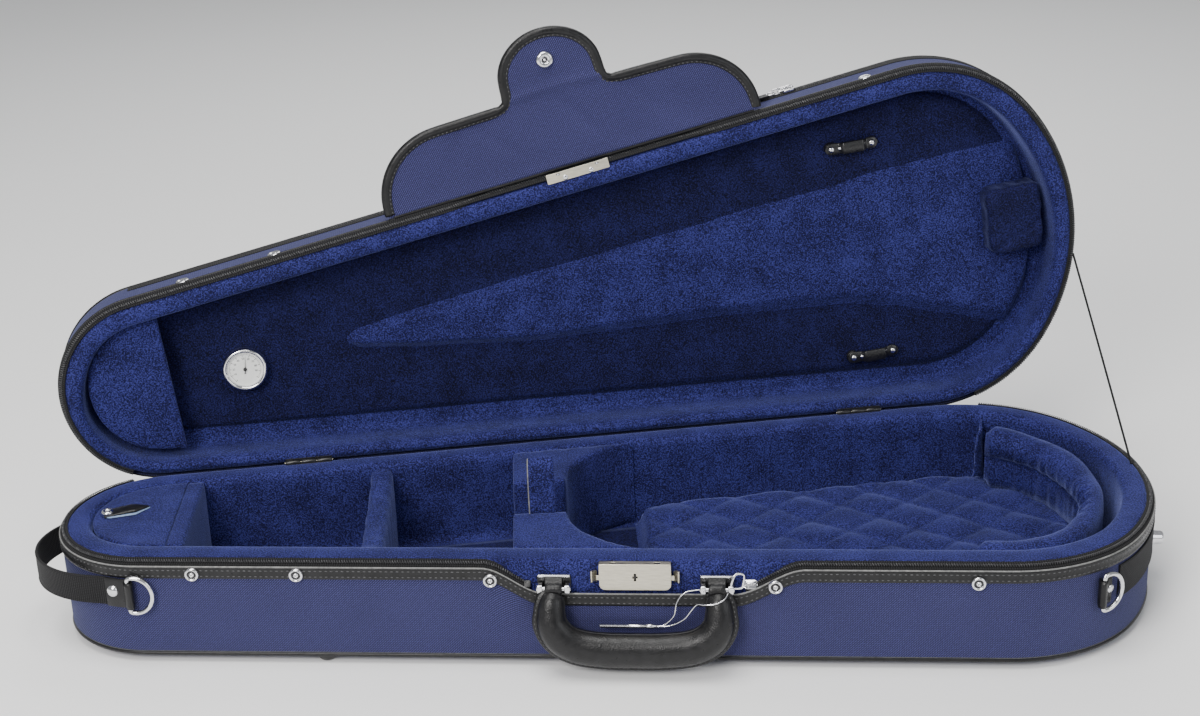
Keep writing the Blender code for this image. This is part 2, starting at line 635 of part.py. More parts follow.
def make_hinges(lid_axis):
    turn = Matrix.Rotation(math.radians(90), 4, "Y")
    knuckle = HINGE_LEN / 3
    for number, s in enumerate(HINGE_AT, 1):
        for part, side, knuckles in (("base", -1, (-1, 1)), ("lid", 1, (0,))):
            leaf = box(
                f"hinge_{number}_{part}",
                (HINGE_LEN, 11.4, 1.0),
                NICKEL,
                rear(s, -AXIS_INSET - 6.9, MID_Z + side * 0.95),
            )
            for k in knuckles:
                place = rear(s + k * knuckle, -AXIS_INSET, MID_Z) @ turn
                barrel_name = f"knuckle_{number}_{part}_{k}"
                barrel = cylinder(barrel_name, 1.7, 1.7, knuckle - 0.4, None, place, sides=12)
                join(leaf, barrel)
            for k in {-1, 0, 1} - set(knuckles):
                place = rear(s + k * knuckle, -AXIS_INSET, MID_Z)
                cut(leaf, box(f"knuckle_room_{number}_{part}_{k}", (knuckle + 0.4, 5, 5), None, place))
            if part == "lid":
                attach(leaf, lid_axis)


# ---- lid: modelled closed, then turned open about the hinge axis ---------------------------------
def make_lid(lid_axis):
    rim = MID_Z + RIM_SLOPE
    cut_back = RIM_SLOPE - 1.9
    rings = [(4, LID_TOP), (1.2, LID_TOP - 1.2), (0, LID_TOP - 4), (0, rim), (cut_back, rim - cut_back)]
    rings += [(WALL, rim - cut_back), (WALL, LID_TOP - BOTTOM_T)]
    shell = loft("lid_shell", [outline(i, z) for i, z in rings], CANVAS)
    under = LID_TOP - BOTTOM_T - GAP
    low = MID_Z + GAP
    section = [(WALL + GAP, under), (WALL + GAP, low + 1.3), (RIM_SLOPE - 1.4, low + 1.3), (RIM_SLOPE, low)]
    section += [(LINING_LID - 2, low), (LINING_LID, low + 2), (LINING_LID, under)]
    lining = loft("lid_lining", [outline(i, z) for i, z in section], VELVET, closed=True)
    steps = [LOCK_S - 100 + 7 * i for i in range(31)]
    shape = [(s - LOCK_S, rim + 1.2 + dip(s) * LID_DIP) for s in steps]
    shape += [(110, rim - 9), (-100, rim - 9)]
    cut(shell, plate("lid_dip_room", shape, 16, None, facing_out(LOCK_S, 3, 0)))
    for s in HINGE_AT:
        for room in make_hinge_cutter(s, lid=True):
            cut(shell, room)
            cut(lining, room)
    cut(lining, box("strike_room", (50, 12, 4), None, front(LOCK_S, -2.6, low + 0.2)))

    half_pad = [(-10, 3), (0, 6), (50, 14), (152, 31), (262, 47), (427, 52), (472, 40), (487, 22)]
    pad_shape = [(-168 + x, -y) for x, y in half_pad] + [(-168 + x, y) for x, y in reversed(half_pad)]
    wedge = plate("lid_pad", pad_shape, 4, VELVET, at(0, 0, under - 2))

    edge = -315.0
    arc = sorted(
        [p for p in outline(LINING_LID + GAP) if p[0] < edge], key=lambda p: math.atan2(p[1], TIP_X - p[0])
    )
    half = inner_y(edge, LINING_LID + GAP)
    pocket_shape = [(edge, -half)] + arc + [(edge, half)]
    pocket = plate("bow_tip_pocket", pocket_shape, 3, VELVET, at(0, 0, low + 13))

    block = box("pressure_block", (43, 51, 24), VELVET, at(350, -2.5, under - 12))
    soften(block, 4)

    strike = box("strike_plate", (48, 7.6, 1.2), NICKEL, front(LOCK_S, -3.4, low + 0.7))
    hooks = [
        box(f"strike_hook_{side}", (3, 1.6, 8), None, front(LOCK_S + side * HOOK_X, -0.6, low - 2.8))
        for side in (-1, 1)
    ]
    join(strike, *hooks)
    for piece in (shell, lining, wedge, pocket, block, strike):
        attach(piece, lid_axis)


def make_hygrometer(lid_axis):
    under = LID_TOP - BOTTOM_T - GAP
    face = at(-259, 5.6, under) @ Matrix.Rotation(math.pi, 4, "X")
    profile = [(0, 7.2), (13.6, 7.2), (13.8, 9.6), (15.2, 10), (17, 8), (17, 0), (0, 0)]
    case = turned("hygrometer_case", profile, CHROME, face, steps=24)
    needle_shape = [(-3, -0.5), (9.5, -0.2), (9.5, 0.2), (-3, 0.5)]
    turn = Matrix.Rotation(math.radians(78), 4, "Z")
    needle = plate("hygrometer_needle", needle_shape, 0.5, PLASTIC, face @ at(0, 0, 8.4) @ turn)
    attach(case, lid_axis)
    centre = Vector((-259, 5.6, under - 8.4))
    attach(needle, joint_empty("needle_axis", centre, lid_axis))


def make_spinners(lid_axis):
    under = LID_TOP - BOTTOM_T - GAP
    for name, x, y in (("front", 213.5, -80.0), ("rear", 213.5, 93.0)):
        post = cylinder(f"bow_spinner_post_{name}", 4.6, 4.2, 4.0, PLASTIC, at(x, y, under - 2), sides=14)
        side = [(-5, 0), (5, 0), (9, 3.2), (24, 3.2), (28, 0), (37, 0), (37, 2), (30, 2), (25, 5.2)]
        side += [(8, 5.2), (3, 2), (-5, 2)]
        face = at(x, y, under - 4.3) @ Matrix.Rotation(-math.pi / 2, 4, "X")
        arm = plate(f"bow_spinner_{name}", side, 9, PLASTIC, face)
        attach(post, lid_axis)
        attach(arm, joint_empty(f"spinner_axis_{name}", Vector((x, y, under - 4.3)), lid_axis))


def make_pocket(lid_axis):
    shape = outline(9)
    panel = plate("lid_pocket_panel", shape, 2.4, CANVAS, at(0, 0, LID_TOP + GAP + 1.2))
    slider = box("pocket_slider", (9, 3, 5.5), CHROME, front(POCKET_S, GAP + 1.5, POCKET_Z))
    pull = box("slider_pull", (16, 1.4, 4), None, front(POCKET_S - 9, GAP + 2.6, POCKET_Z))
    join(slider, pull)
    attach(panel, lid_axis)
    attach(slider, lid_axis)


def make_flap(lid_axis):
    axis = joint_empty("flap_axis", front_point(LOCK_S, FLAP_D, FLAP_Z), lid_axis)
    place = front(LOCK_S, 0, FLAP_Z)

    def flat(points):
        return [(s, -d) for s, d in points]

    corner = [(FLAP_HALF - 52 * (1 - math.cos(a)), FLAP_DEPTH * (0.12 + 0.86 * math.sin(a))) for a in
              [math.radians(90) * i / 6 for i in range(7)]]
    right = [(FLAP_HALF, FLAP_D)] + corner + [(TONGUE_HALF + 4, FLAP_DEPTH)]
    shape = right + [(-s, d) for s, d in reversed(right)]
    panel = plate("flap_panel", flat(shape), 3, CANVAS, place)
    hinge_d = FLAP_DEPTH + 2.4
    bow = [
        (TONGUE_HALF * math.cos(a), hinge_d + 12 + (TONGUE_END - hinge_d - 12) * math.sin(a))
        for a in [math.pi * i / 12 for i in range(13)]
    ]
    tongue_shape = [(-TONGUE_HALF, hinge_d), (TONGUE_HALF, hinge_d)] + bow
    tongue = plate("flap_tongue", flat(tongue_shape), 2.6, CANVAS, place)
    snap = turned(
        "flap_snap",
        [(0, 1.6), (2, 1.6), (2.4, 2.6), (4.5, 2.6), (6, 1.4), (6, 0), (0, 0)],
        CHROME,
        front(LOCK_S - 1.5, 83, FLAP_Z - 1.3 - GAP) @ Matrix.Rotation(math.pi, 4, "X"),
        steps=16,
    )
    attach(panel, axis)
    crease = joint_empty("tongue_axis", front_point(LOCK_S, FLAP_DEPTH + 1.2, FLAP_Z), axis)
    attach(tongue, crease)
    attach(snap, crease)


def make_stay():
    """The cord that stops the lid, straight between the two rims while the lid is open."""
    start = Vector((388.0, 8.0, MID_Z + 0.6))
    closed = Vector((390.6, 31.0, MID_Z + 1.5))
    end = opening @ closed
    run = end - start
    # It starts just clear of the velvet, where it comes out of the seam.
    points = [start + run * (0.012 + 0.974 * i / 6) for i in range(7)]
    solid_curve("lid_stay", [tuple(p) for p in points], WEBBING, radius=0.9, resolution=1)


def main():
    lid_place = (rear(0, -AXIS_INSET, MID_Z).translation) / MM
    lid_axis = joint_empty("lid_hinge_axis", lid_place)
    make_base_shell()
    make_base_lining()
    make_interior()
    attach(make_rim_trim(), lid_axis)
    make_studs()
    make_feet()
    make_lock()
    make_handle()
    make_straps()
    make_hinges(lid_axis)
    make_lid(lid_axis)
    make_hygrometer(lid_axis)
    make_spinners(lid_axis)
    make_pocket(lid_axis)
    make_flap(lid_axis)
    make_stay()
    lid_axis.rotation_mode = "QUATERNION"
    lid_axis.rotation_quaternion = Quaternion(REAR_DIR, -math.radians(OPEN_ANGLE))


hinge_at = rear(0, -AXIS_INSET, MID_Z).translation / MM
opening = (
    Matrix.Translation(hinge_at)
    @ Matrix.Rotation(-math.radians(OPEN_ANGLE), 4, REAR_DIR)
    @ Matrix.Translation(-hinge_at)
)
main()
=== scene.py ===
"""The looks of an open violin case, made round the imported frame.

Places are in millimetres on the closed case, as in the design: X along it from the narrow end, +Y
towards the hinges, Z up from the base's underside. Lid pieces are made closed, then turned open.
"""

import json
from math import asin, atan2, copysign, cos, exp, hypot, pi, radians, sin, sqrt, tan

import bmesh
import bpy
from mathutils import Matrix, Vector
from mathutils.noise import noise as wobble, ridged_multi_fractal


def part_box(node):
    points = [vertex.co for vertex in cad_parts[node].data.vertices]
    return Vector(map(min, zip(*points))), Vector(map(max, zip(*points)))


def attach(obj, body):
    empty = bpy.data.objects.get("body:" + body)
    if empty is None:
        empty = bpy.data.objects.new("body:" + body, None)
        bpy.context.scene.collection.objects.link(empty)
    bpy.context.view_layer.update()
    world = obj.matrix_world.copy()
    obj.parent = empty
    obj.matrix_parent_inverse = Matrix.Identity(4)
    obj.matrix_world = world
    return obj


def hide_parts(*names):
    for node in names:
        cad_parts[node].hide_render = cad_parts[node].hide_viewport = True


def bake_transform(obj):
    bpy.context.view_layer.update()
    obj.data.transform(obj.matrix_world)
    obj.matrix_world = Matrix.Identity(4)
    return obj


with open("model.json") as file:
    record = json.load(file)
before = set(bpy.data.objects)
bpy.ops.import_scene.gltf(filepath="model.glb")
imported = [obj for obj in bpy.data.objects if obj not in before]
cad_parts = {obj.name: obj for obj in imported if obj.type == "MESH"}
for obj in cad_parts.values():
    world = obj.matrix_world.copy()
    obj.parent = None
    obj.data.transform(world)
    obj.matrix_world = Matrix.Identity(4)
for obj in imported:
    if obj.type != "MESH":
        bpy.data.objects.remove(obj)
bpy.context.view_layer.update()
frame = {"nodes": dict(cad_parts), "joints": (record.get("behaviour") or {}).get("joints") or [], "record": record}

# ---- driving dimensions (mm) ----
MM = 0.001
TIP_R, CORNER_R, END_R = 72.3, 108.6, 158.7  # arcs of the outline: narrow end, corners, wide end
shell_low, shell_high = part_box("base_shell")
LENGTH = (shell_high[0] - shell_low[0]) / MM
HALF_WIDTH = shell_high[1] / MM
MID_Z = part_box("base_lining")[1][2] / MM + 0.3  # where base and lid meet
RIM_SLOPE = 5.1  # height of the rims' 45 degree cut
BASE_RIM = MID_Z - RIM_SLOPE
LID_RIM = MID_Z + RIM_SLOPE
LID_TOP = 115.0
LID_INSIDE = 110.2  # the lid's inner face
OPEN_ANGLE = radians(92.5)
LINING_BASE, LINING_LID = 22.0, 19.0  # width of the velvet rims
FRONT_EXTRA = 4.0  # the base's rim is wider in front
LOCK_S = 346.3  # the lock, along the straight front side
DIP_DEPTH, LID_DIP = 19.0, 0.32
FLAP_D, FLAP_Z, FLAP_HALF, FLAP_DEPTH = 3.0, 82.4, 144.0, 57.0
TONGUE_HALF, TONGUE_ROUND, TONGUE_END = 37.0, 71.4, 104.0
STRAP_OFF = (radians(158), radians(244))  # where the carrying strap leaves the narrow end
BRACKET_OUT = 55.5  # each handle bracket's distance from the lock
PIN_OUT = 4.5  # the handle's pivot, out of the wall
LOCK_FACE_Z = 65.0
STRIKE_OUT = -3.5
STRIKE_SPREAD, SLOT_SPREAD = 22.2, 15  # the strike's ears and hooks, to each side of the lock
SNAP_S, SNAP_OUT = LOCK_S - 1.5, 83
D_RING_Z, D_RING_HALF = 4.2, 13.5
POCKET_ZIP_Z = 107.0
COIL_INSET = 2.2
QUILT_X, QUILT_Y = 52, 45  # spacing of the floor pad's seams
CORNER_LOOP_AT, CORNER_RIVET_AT = radians(-62), radians(-57.5)
DIAL_FROM, DIAL_SWEEP = 225, 270  # degrees
SIDES = ((-1, "left"), (1, "right"))
FOOT_H = 5.0
CAMERA_LENS = 57.35
CAMERA_TURN = (1.71, 21.84, -1.89)  # degrees of yaw, pitch and roll
CAMERA_AT = (-0.0397, -1.257, 0.6854)  # metres
LIGHTS = (  # name, place, size, power, tint
    ("top_light", (-0.25, -0.35, 1.9), 1.3, 30, (1, 0.99, 0.97)),
    ("key_light", (-0.9, -1.6, 1.3), 0.9, 38, (1, 0.98, 0.96)),
    ("fill_light", (1.4, -1.2, 0.9), 1.2, 9, (0.95, 0.97, 1)),
    ("back_light", (0.2, 1.5, 1.6), 1.6, 14, (1, 1, 1)),
)
SKY, SKY_POWER = (0.95, 0.97, 1, 1), 0.38
STEP = 3.0  # spacing of the sections round the outline

TIP_X = -LENGTH / 2 + TIP_R
END_X = LENGTH / 2 - END_R
CORNER_Y = HALF_WIDTH - CORNER_R
CORNER_X = END_X + sqrt((END_R - CORNER_R) ** 2 - CORNER_Y**2)
TAPER = atan2(CORNER_Y, CORNER_X - TIP_X) + asin(
    (CORNER_R - TIP_R) / hypot(CORNER_X - TIP_X, CORNER_Y)
)
JOIN = atan2(CORNER_Y, CORNER_X - END_X)
QUARTER = pi / 2
SIDE_START = Vector((TIP_X - TIP_R * sin(TAPER), TIP_R * cos(TAPER), 0))
SIDE_END = Vector((CORNER_X - CORNER_R * sin(TAPER), CORNER_Y + CORNER_R * cos(TAPER), 0))
SIDE_LEN = (SIDE_END - SIDE_START).length
FRONT_DIR = Vector((cos(TAPER), -sin(TAPER), 0))
REAR_DIR = Vector((cos(TAPER), sin(TAPER), 0))
hinge = next(j for j in frame["joints"] if j["name"] == "lid_hinge")
HINGE_AT = Vector(hinge["pos_m"]) / MM
HINGE = Matrix.Translation(HINGE_AT)
OPEN = HINGE @ Matrix.Rotation(-OPEN_ANGLE, 4, REAR_DIR) @ HINGE.inverted()
CLOSED = Matrix.Identity(4)


# ---- camera, light and floor ----
def link(obj):
    bpy.context.scene.collection.objects.link(obj)


def make_stage():
    camera = bpy.data.objects.new("camera", bpy.data.cameras.new("camera"))
    camera.data.lens = CAMERA_LENS
    yaw, pitch, roll = map(radians, CAMERA_TURN)
    ahead = Vector((sin(yaw) * cos(pitch), cos(yaw) * cos(pitch), -sin(pitch)))
    right = Vector((cos(yaw), -sin(yaw), 0))
    up = right.cross(ahead)
    x_axis = right * cos(roll) + up * sin(roll)
    y_axis = -right * sin(roll) + up * cos(roll)
    camera.matrix_world = Matrix((x_axis, y_axis, -ahead)).transposed().to_4x4()
    camera.matrix_world.translation = CAMERA_AT
    link(camera)
    bpy.context.scene.camera = camera

    for name, place, size, power, tint in LIGHTS:
        light = bpy.data.lights.new(name, "AREA")
        light.shape = "DISK"
        light.size, light.energy, light.color = size, power, tint
        lamp = bpy.data.objects.new(name, light)
        lamp.location = place
        lamp.rotation_euler = (Vector((0, 0, 0.1)) - Vector(place)).to_track_quat("-Z", "Y").to_euler()
        link(lamp)

    world = bpy.data.worlds.new("studio")
    bpy.context.scene.world = world
    world.use_nodes = True
    for socket, value in enumerate((SKY, SKY_POWER)):
        world.node_tree.nodes["Background"].inputs[socket].default_value = value

    bpy.ops.mesh.primitive_plane_add(size=16, location=(0, 2, -FOOT_H * MM))
    floor = bpy.context.object
    floor.name = "floor"
    paper = Shader("pale_floor", 0.9, Base_Color=(0.93, 0.93, 0.93, 1))
    floor.data.materials.append(paper.material)


# ---- materials ----
class Shader:
    """A Principled material with helpers that add texture nodes."""

    def __init__(self, name, roughness=0.5, metallic=0.0, **constants):
        self.material = bpy.data.materials.new(name)
        self.material.use_nodes = True
        self.tree = self.material.node_tree
        self.bsdf = self.tree.nodes["Principled BSDF"]
        self.bsdf.inputs["Roughness"].default_value = roughness
        self.bsdf.inputs["Metallic"].default_value = metallic
        for key, value in constants.items():
            self.bsdf.inputs[key.replace("_", " ")].default_value = value
        self.place = self.node("ShaderNodeTexCoord").outputs["Object"]
        self.heights = []

    def node(self, kind, **settings):
        made = self.tree.nodes.new(kind)
        for key, value in settings.items():
            if key in made.inputs:
                if hasattr(value, "is_output"):
                    self.tree.links.new(value, made.inputs[key])
                else:
                    made.inputs[key].default_value = value
            else:
                setattr(made, key, value)
        return made

    def along_surface(self):
        """Coordinates along the swept surface, in metres, instead of in space."""
        self.place = self.node("ShaderNodeUVMap", uv_map="surface").outputs["UV"]

    def stretched(self, scale):
        return self.node("ShaderNodeMapping", Vector=self.place, Scale=scale).outputs[0]

    def noise(self, size_mm, detail=3, place=None):
        """Noise with blobs of about this size."""
        made = self.node("ShaderNodeTexNoise", Vector=place or self.place, Scale=1 / (size_mm * MM),
                         Detail=detail)
        return made.outputs[0]

    def cells(self, size_mm):
        made = self.node("ShaderNodeTexVoronoi", Vector=self.place, Scale=1 / (size_mm * MM))
        return made.outputs["Distance"]

    def wave(self, period_mm, direction="X"):
        """Bands of this period along one axis of the place."""
        factor = 20 if direction != "DIAGONAL" else 10
        return self.node(
            "ShaderNodeTexWave",
            bands_direction=direction,
            Vector=self.place,
            Scale=2 * pi / (factor * period_mm * MM),
        ).outputs["Fac"]

    def math(self, operation, a, b):
        made = self.node("ShaderNodeMath", operation=operation)
        for socket, value in zip(made.inputs, (a, b)):
            if hasattr(value, "is_output"):
                self.tree.links.new(value, socket)
            else:
                socket.default_value = value
        return made.outputs[0]

    def ramp(self, source, *stops):
        made = self.node("ShaderNodeValToRGB", Fac=source)
        points = made.color_ramp.elements
        while len(points) < len(stops):
            points.new(0.5)
        for point, (position, colour) in zip(points, stops):
            point.position = position
            point.color = (*colour, 1)
        return made.outputs[0]

    def range(self, source, low, high, start=0.0, end=1.0):
        made = self.node("ShaderNodeMapRange", Value=source)
        for index, value in ((1, start), (2, end), (3, low), (4, high)):
            made.inputs[index].default_value = value
        return made.outputs[0]

    def set(self, socket, source):
        self.tree.links.new(source, self.bsdf.inputs[socket])
        return self

    def bump(self, source, distance_mm, strength=1.0):
        made = self.node("ShaderNodeBump", Height=source, Distance=distance_mm * MM, Strength=strength)
        if self.heights:
            self.tree.links.new(self.heights[-1], made.inputs["Normal"])
        self.heights.append(made.outputs[0])
        self.tree.links.new(made.outputs[0], self.bsdf.inputs["Normal"])
        return self


def make_materials():
    found = {}
    # The same velvet twice: lit, and a darker copy whose colour is painted shade, used for the lid's back, the
    # base's floor and the pressure block.
    lit_and_shaded_velvets = {
        "velvet": ((0.0042, 0.0044, 0.026), (0.0125, 0.0138, 0.08), (0.0325, 0.0365, 0.178), 0.36),
        "velvet_painted_shade": ((0.002, 0.0022, 0.012), (0.0055, 0.006, 0.036), (0.0125, 0.0145, 0.08), 0.18),
    }
    for name, (dark, middle, light, sheen) in lit_and_shaded_velvets.items():
        velvet = Shader(name, 0.85, Sheen_Weight=sheen, Sheen_Roughness=0.35, Sheen_Tint=(0.38, 0.44, 1, 1))
        velvet.bsdf.inputs["Specular IOR Level"].default_value = 0.15
        nap, patch = velvet.noise(1.0, 2), velvet.noise(22, 3)
        tone = velvet.math("ADD", velvet.math("MULTIPLY", nap, 0.8), velvet.math("MULTIPLY", patch, 0.2))
        velvet.set("Base Color", velvet.ramp(tone, (0.4, dark), (0.5, middle), (0.6, light)))
        velvet.bump(nap, 0.6, 0.8).bump(velvet.noise(18, 2), 1.0, 0.4)
        found[name] = velvet

    canvas = Shader("canvas", 0.85, Sheen_Weight=0.1, Sheen_Roughness=0.5, Sheen_Tint=(0.6, 0.7, 1, 1))
    canvas.bsdf.inputs["Specular IOR Level"].default_value = 0.25
    canvas.along_surface()
    twill = canvas.wave(1.9, "DIAGONAL")
    yarn = canvas.math("MULTIPLY", canvas.wave(1.6, "X"), canvas.wave(1.6, "Y"))
    weave = canvas.math("ADD", canvas.math("MULTIPLY", twill, 0.4), canvas.math("MULTIPLY", yarn, 0.24))
    blot = canvas.math("ADD", canvas.math("MULTIPLY", canvas.noise(1.6, 4), 0.36),
                       canvas.math("MULTIPLY", canvas.noise(55, 2), 0.1))
    canvas.set("Base Color", canvas.ramp(
        canvas.math("ADD", weave, blot),
        (0.34, (0.0115, 0.0115, 0.042)), (0.52, (0.0285, 0.0285, 0.097)), (0.72, (0.062, 0.063, 0.185)),
    ))
    canvas.bump(canvas.math("ADD", twill, yarn), 0.28, 0.7).bump(canvas.noise(25, 2), 0.6, 0.3)
    found["canvas"] = canvas

    leather = Shader("black_leather", 0.45, Coat_Weight=0.1, Coat_Roughness=0.3)
    leather.bsdf.inputs["Specular IOR Level"].default_value = 0.3
    grain = leather.math("ADD", leather.cells(1.1), leather.math("MULTIPLY", leather.noise(0.6, 3), 0.6))
    leather.set("Base Color", leather.ramp(
        leather.noise(6, 4), (0.3, (0.004, 0.004, 0.0045)), (0.7, (0.011, 0.011, 0.012))
    ))
    leather.set("Roughness", leather.range(leather.noise(4, 4), 0.26, 0.46, 0.3, 0.7))
    leather.bump(grain, 0.18, 0.7).bump(leather.noise(9, 2), 0.5, 0.3)
    found["leather"] = leather

    tape = Shader("webbing", 0.8, Sheen_Weight=0.05, Sheen_Roughness=0.5)
    tape.along_surface()
    rib = tape.math("MULTIPLY", tape.wave(1.6, "X"), tape.math("ADD", tape.wave(1.3, "Y"), 0.4))
    tape.bsdf.inputs["Specular IOR Level"].default_value = 0.22
    tape.set("Base Color", tape.ramp(rib, (0.1, (0.003, 0.003, 0.0035)), (0.9, (0.02, 0.02, 0.022))))
    tape.bump(rib, 0.35, 0.8)
    found["webbing"] = tape

    # look: material, roughness, metallic, tones (size and detail of their noise, dark, light),
    # roughness (size, low, high, from where) and bump (size, detail, distance, strength)
    plain = {
        "coil": ("zip_coil", 0.38, 0, (3, 3, (0.03, 0.03, 0.032), (0.06, 0.06, 0.065)), None, None),
        "piping": ("pale_piping", 0.6, 0, (2.5, 3, (0.11, 0.11, 0.11), (0.22, 0.22, 0.215)), None,
                   (0.7, 3, 0.2, 1)),
        "thread": ("thread", 0.7, 0, (1.5, 3, (0.03, 0.03, 0.032), (0.085, 0.085, 0.09)), None,
                   (0.35, 3, 0.1, 1)),
        "chrome": ("chrome", 0.12, 1, (3, 4, (0.68, 0.68, 0.7), (0.85, 0.85, 0.87)),
                   (2, 0.08, 0.24, 0.35), (6, 2, 0.05, 0.3)),
        "plastic": ("black_plastic", 0.3, 0, (2, 3, (0.006, 0.006, 0.007), (0.014, 0.014, 0.015)),
                    (3, 0.25, 0.4, 0.3), (1.2, 3, 0.04, 0.4)),
        "dial": ("dial_white", 0.5, 0, (8, 3, (0.82, 0.83, 0.8), (0.9, 0.9, 0.88)), None, None),
        "ink": ("dial_ink", 0.6, 0, (2, 3, (0.01, 0.01, 0.012), (0.03, 0.03, 0.03)), None, None),
        "edge": ("blue_edge", 0.7, 0, (2, 3, (0.16, 0.24, 0.42), (0.3, 0.4, 0.6)), None, None),
    }
    for look, (name, roughness, metallic, (size, detail, dark, light), dull, relief) in plain.items():
        shader = Shader(name, roughness, metallic)
        shader.set("Base Color", shader.ramp(shader.noise(size, detail), (0.3, dark), (0.7, light)))
        if dull:
            size, low, high, start = dull
            shader.set("Roughness", shader.range(shader.noise(size, 4), low, high, start, 0.7))
        if relief:
            size, detail, distance, strength = relief
            shader.bump(shader.noise(size, detail), distance, strength)
        found[look] = shader

    nickel = Shader("nickel", 0.35, 1.0)
    brushed = nickel.noise(1.0, 3, nickel.stretched((0.08, 1, 1)))
    nickel.set("Base Color", nickel.ramp(brushed, (0.3, (0.55, 0.51, 0.41)), (0.7, (0.7, 0.66, 0.55))))
    nickel.set("Roughness", nickel.range(brushed, 0.3, 0.48, 0.3, 0.7))
    nickel.bump(brushed, 0.03, 0.4)
    found["nickel"] = nickel
    return {name: shader.material for name, shader in found.items()}


# ---- mesh helpers ----
def piece(name, data, look, body, replaces=(), matrix=None, smooth=60):
    """Makes an object of a mesh in mm on the closed case, and places it. A BMesh is used up.

    A body of None is for a piece that opens with the lid but is attached to no body, False for one that isn't
    opened.
    """
    mesh = data
    if isinstance(data, bmesh.types.BMesh):
        bmesh.ops.recalc_face_normals(data, faces=data.faces)
        mesh = bpy.data.meshes.new(name)
        data.to_mesh(mesh)
        data.free()
    turn = matrix or CLOSED
    if body in LID_BODIES:
        turn = OPEN @ turn
    mesh.transform(Matrix.Diagonal((MM, MM, MM, 1)) @ turn)
    mesh.shade_smooth()
    mesh.set_sharp_from_angle(angle=radians(smooth))
    obj = bpy.data.objects.new(name, mesh)
    link(obj)
    mesh.materials.clear()
    mesh.materials.append(looks[look])
    if isinstance(body, str):
        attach(obj, body)
    if replaces:
        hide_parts(*replaces)
    return obj


# The bodies that open with the lid.
LID_BODIES = {"lid", "flap", "flap_tongue", "pocket_slider", "bow_spinner_front", "bow_spinner_rear",
              "hygrometer_needle", None}


def grid(rows, closed_rows=False, closed_columns=False, caps=False, uv=None):
    """A mesh from rows of points. Its UVs 'surface' are lengths along rows and columns, or uv(point)."""
    bm = bmesh.new()
    layer = bm.loops.layers.uv.new("surface")
    verts = [[bm.verts.new(p) for p in row] for row in rows]
    n, m = len(rows), len(rows[0])
    across = [0.0]
    for i in range(1, n + 1):
        across.append(across[-1] + (Vector(rows[i % n][0]) - Vector(rows[i - 1][0])).length)
    middle = rows[n // 2]
    along = [0.0]
    for j in range(1, m + 1):
        along.append(along[-1] + (Vector(middle[j % m]) - Vector(middle[j - 1])).length)
    for i in range(n if closed_rows else n - 1):
        for j in range(m if closed_columns else m - 1):
            corners = ((i, j), (i, j + 1), (i + 1, j + 1), (i + 1, j))
            face = bm.faces.new([verts[a % n][b % m] for a, b in corners])
            for loop, (a, b) in zip(face.loops, corners):
                loop[layer].uv = uv(loop.vert.co) if uv else (along[b] * MM, across[a] * MM)
    if caps:
        for row in (verts[0], verts[-1]):
            bm.faces.new(row)
    return bm


def fill_middle(bm):
    """Closes the flat middle that a sweep round the outline leaves open."""
    layer = bm.loops.layers.uv.verify()
    made = bmesh.ops.holes_fill(bm, edges=[e for e in bm.edges if e.is_boundary], sides=0)
    for face in made["faces"]:
        for loop in face.loops:
            loop[layer].uv = (loop.vert.co.x * MM, loop.vert.co.y * MM)


def tube(points, radius, sides=10, closed=False):
    """A tube round a line of points."""
    points = [Vector(p) for p in points]
    n = len(points)
    rings = []
    normal = None
    for i, p in enumerate(points):
        before = points[i - 1] if i or closed else p
        after = points[(i + 1) % n] if i < n - 1 or closed else p
        ahead = (after - before).normalized()
        if normal is None:
            upward = Vector((0, 0, 1)) if abs(ahead.z) < 0.9 else Vector((0, 1, 0))
            normal = ahead.cross(upward).normalized()
        normal = (normal - ahead * normal.dot(ahead)).normalized()
        other = ahead.cross(normal)
        turns = [2 * pi * k / sides for k in range(sides)]
        rings.append([p + normal * (radius * cos(a)) + other * (radius * sin(a)) for a in turns])
    return grid(rings, closed_rows=closed, closed_columns=True, caps=not closed)


def lathe(profile, steps=40):
    """A turned shape about Z from (radius, height) points; ends at radius 0 are closed."""
    rows = []
    for k in range(steps):
        a = 2 * pi * k / steps
        rows.append([(max(r, 0.001) * cos(a), max(r, 0.001) * sin(a), z) for r, z in profile])
    bm = grid(rows, closed_rows=True)
    bmesh.ops.remove_doubles(bm, verts=bm.verts, dist=0.01)
    return bm


def smooth_line(points, per=8, closed=False):
    """A Catmull-Rom line through the points."""
    points = [Vector(p) for p in points]
    n = len(points)
    line = []
    for i in range(n if closed else n - 1):
        a = points[(i - 1) % n] if closed or i else points[0] * 2 - points[1]
        b, c = points[i], points[(i + 1) % n]
        d = points[(i + 2) % n] if closed or i < n - 2 else points[-1] * 2 - points[-2]
        for k in range(per):
            t = k / per
            line.append(0.5 * (2 * b + (c - a) * t + (2 * a - 5 * b + 4 * c - d) * t * t
                               + (3 * b - a - 3 * c + d) * t**3))
    return line if closed else line + [points[-1]]


def evaluated(obj):
    graph = bpy.context.evaluated_depsgraph_get()
    return bpy.data.meshes.new_from_object(obj.evaluated_get(graph))


def used_up(obj):
    """The mesh of an object that isn't kept."""
    link(obj)
    mesh = evaluated(obj)
    bpy.data.objects.remove(obj, do_unlink=True)
    return mesh


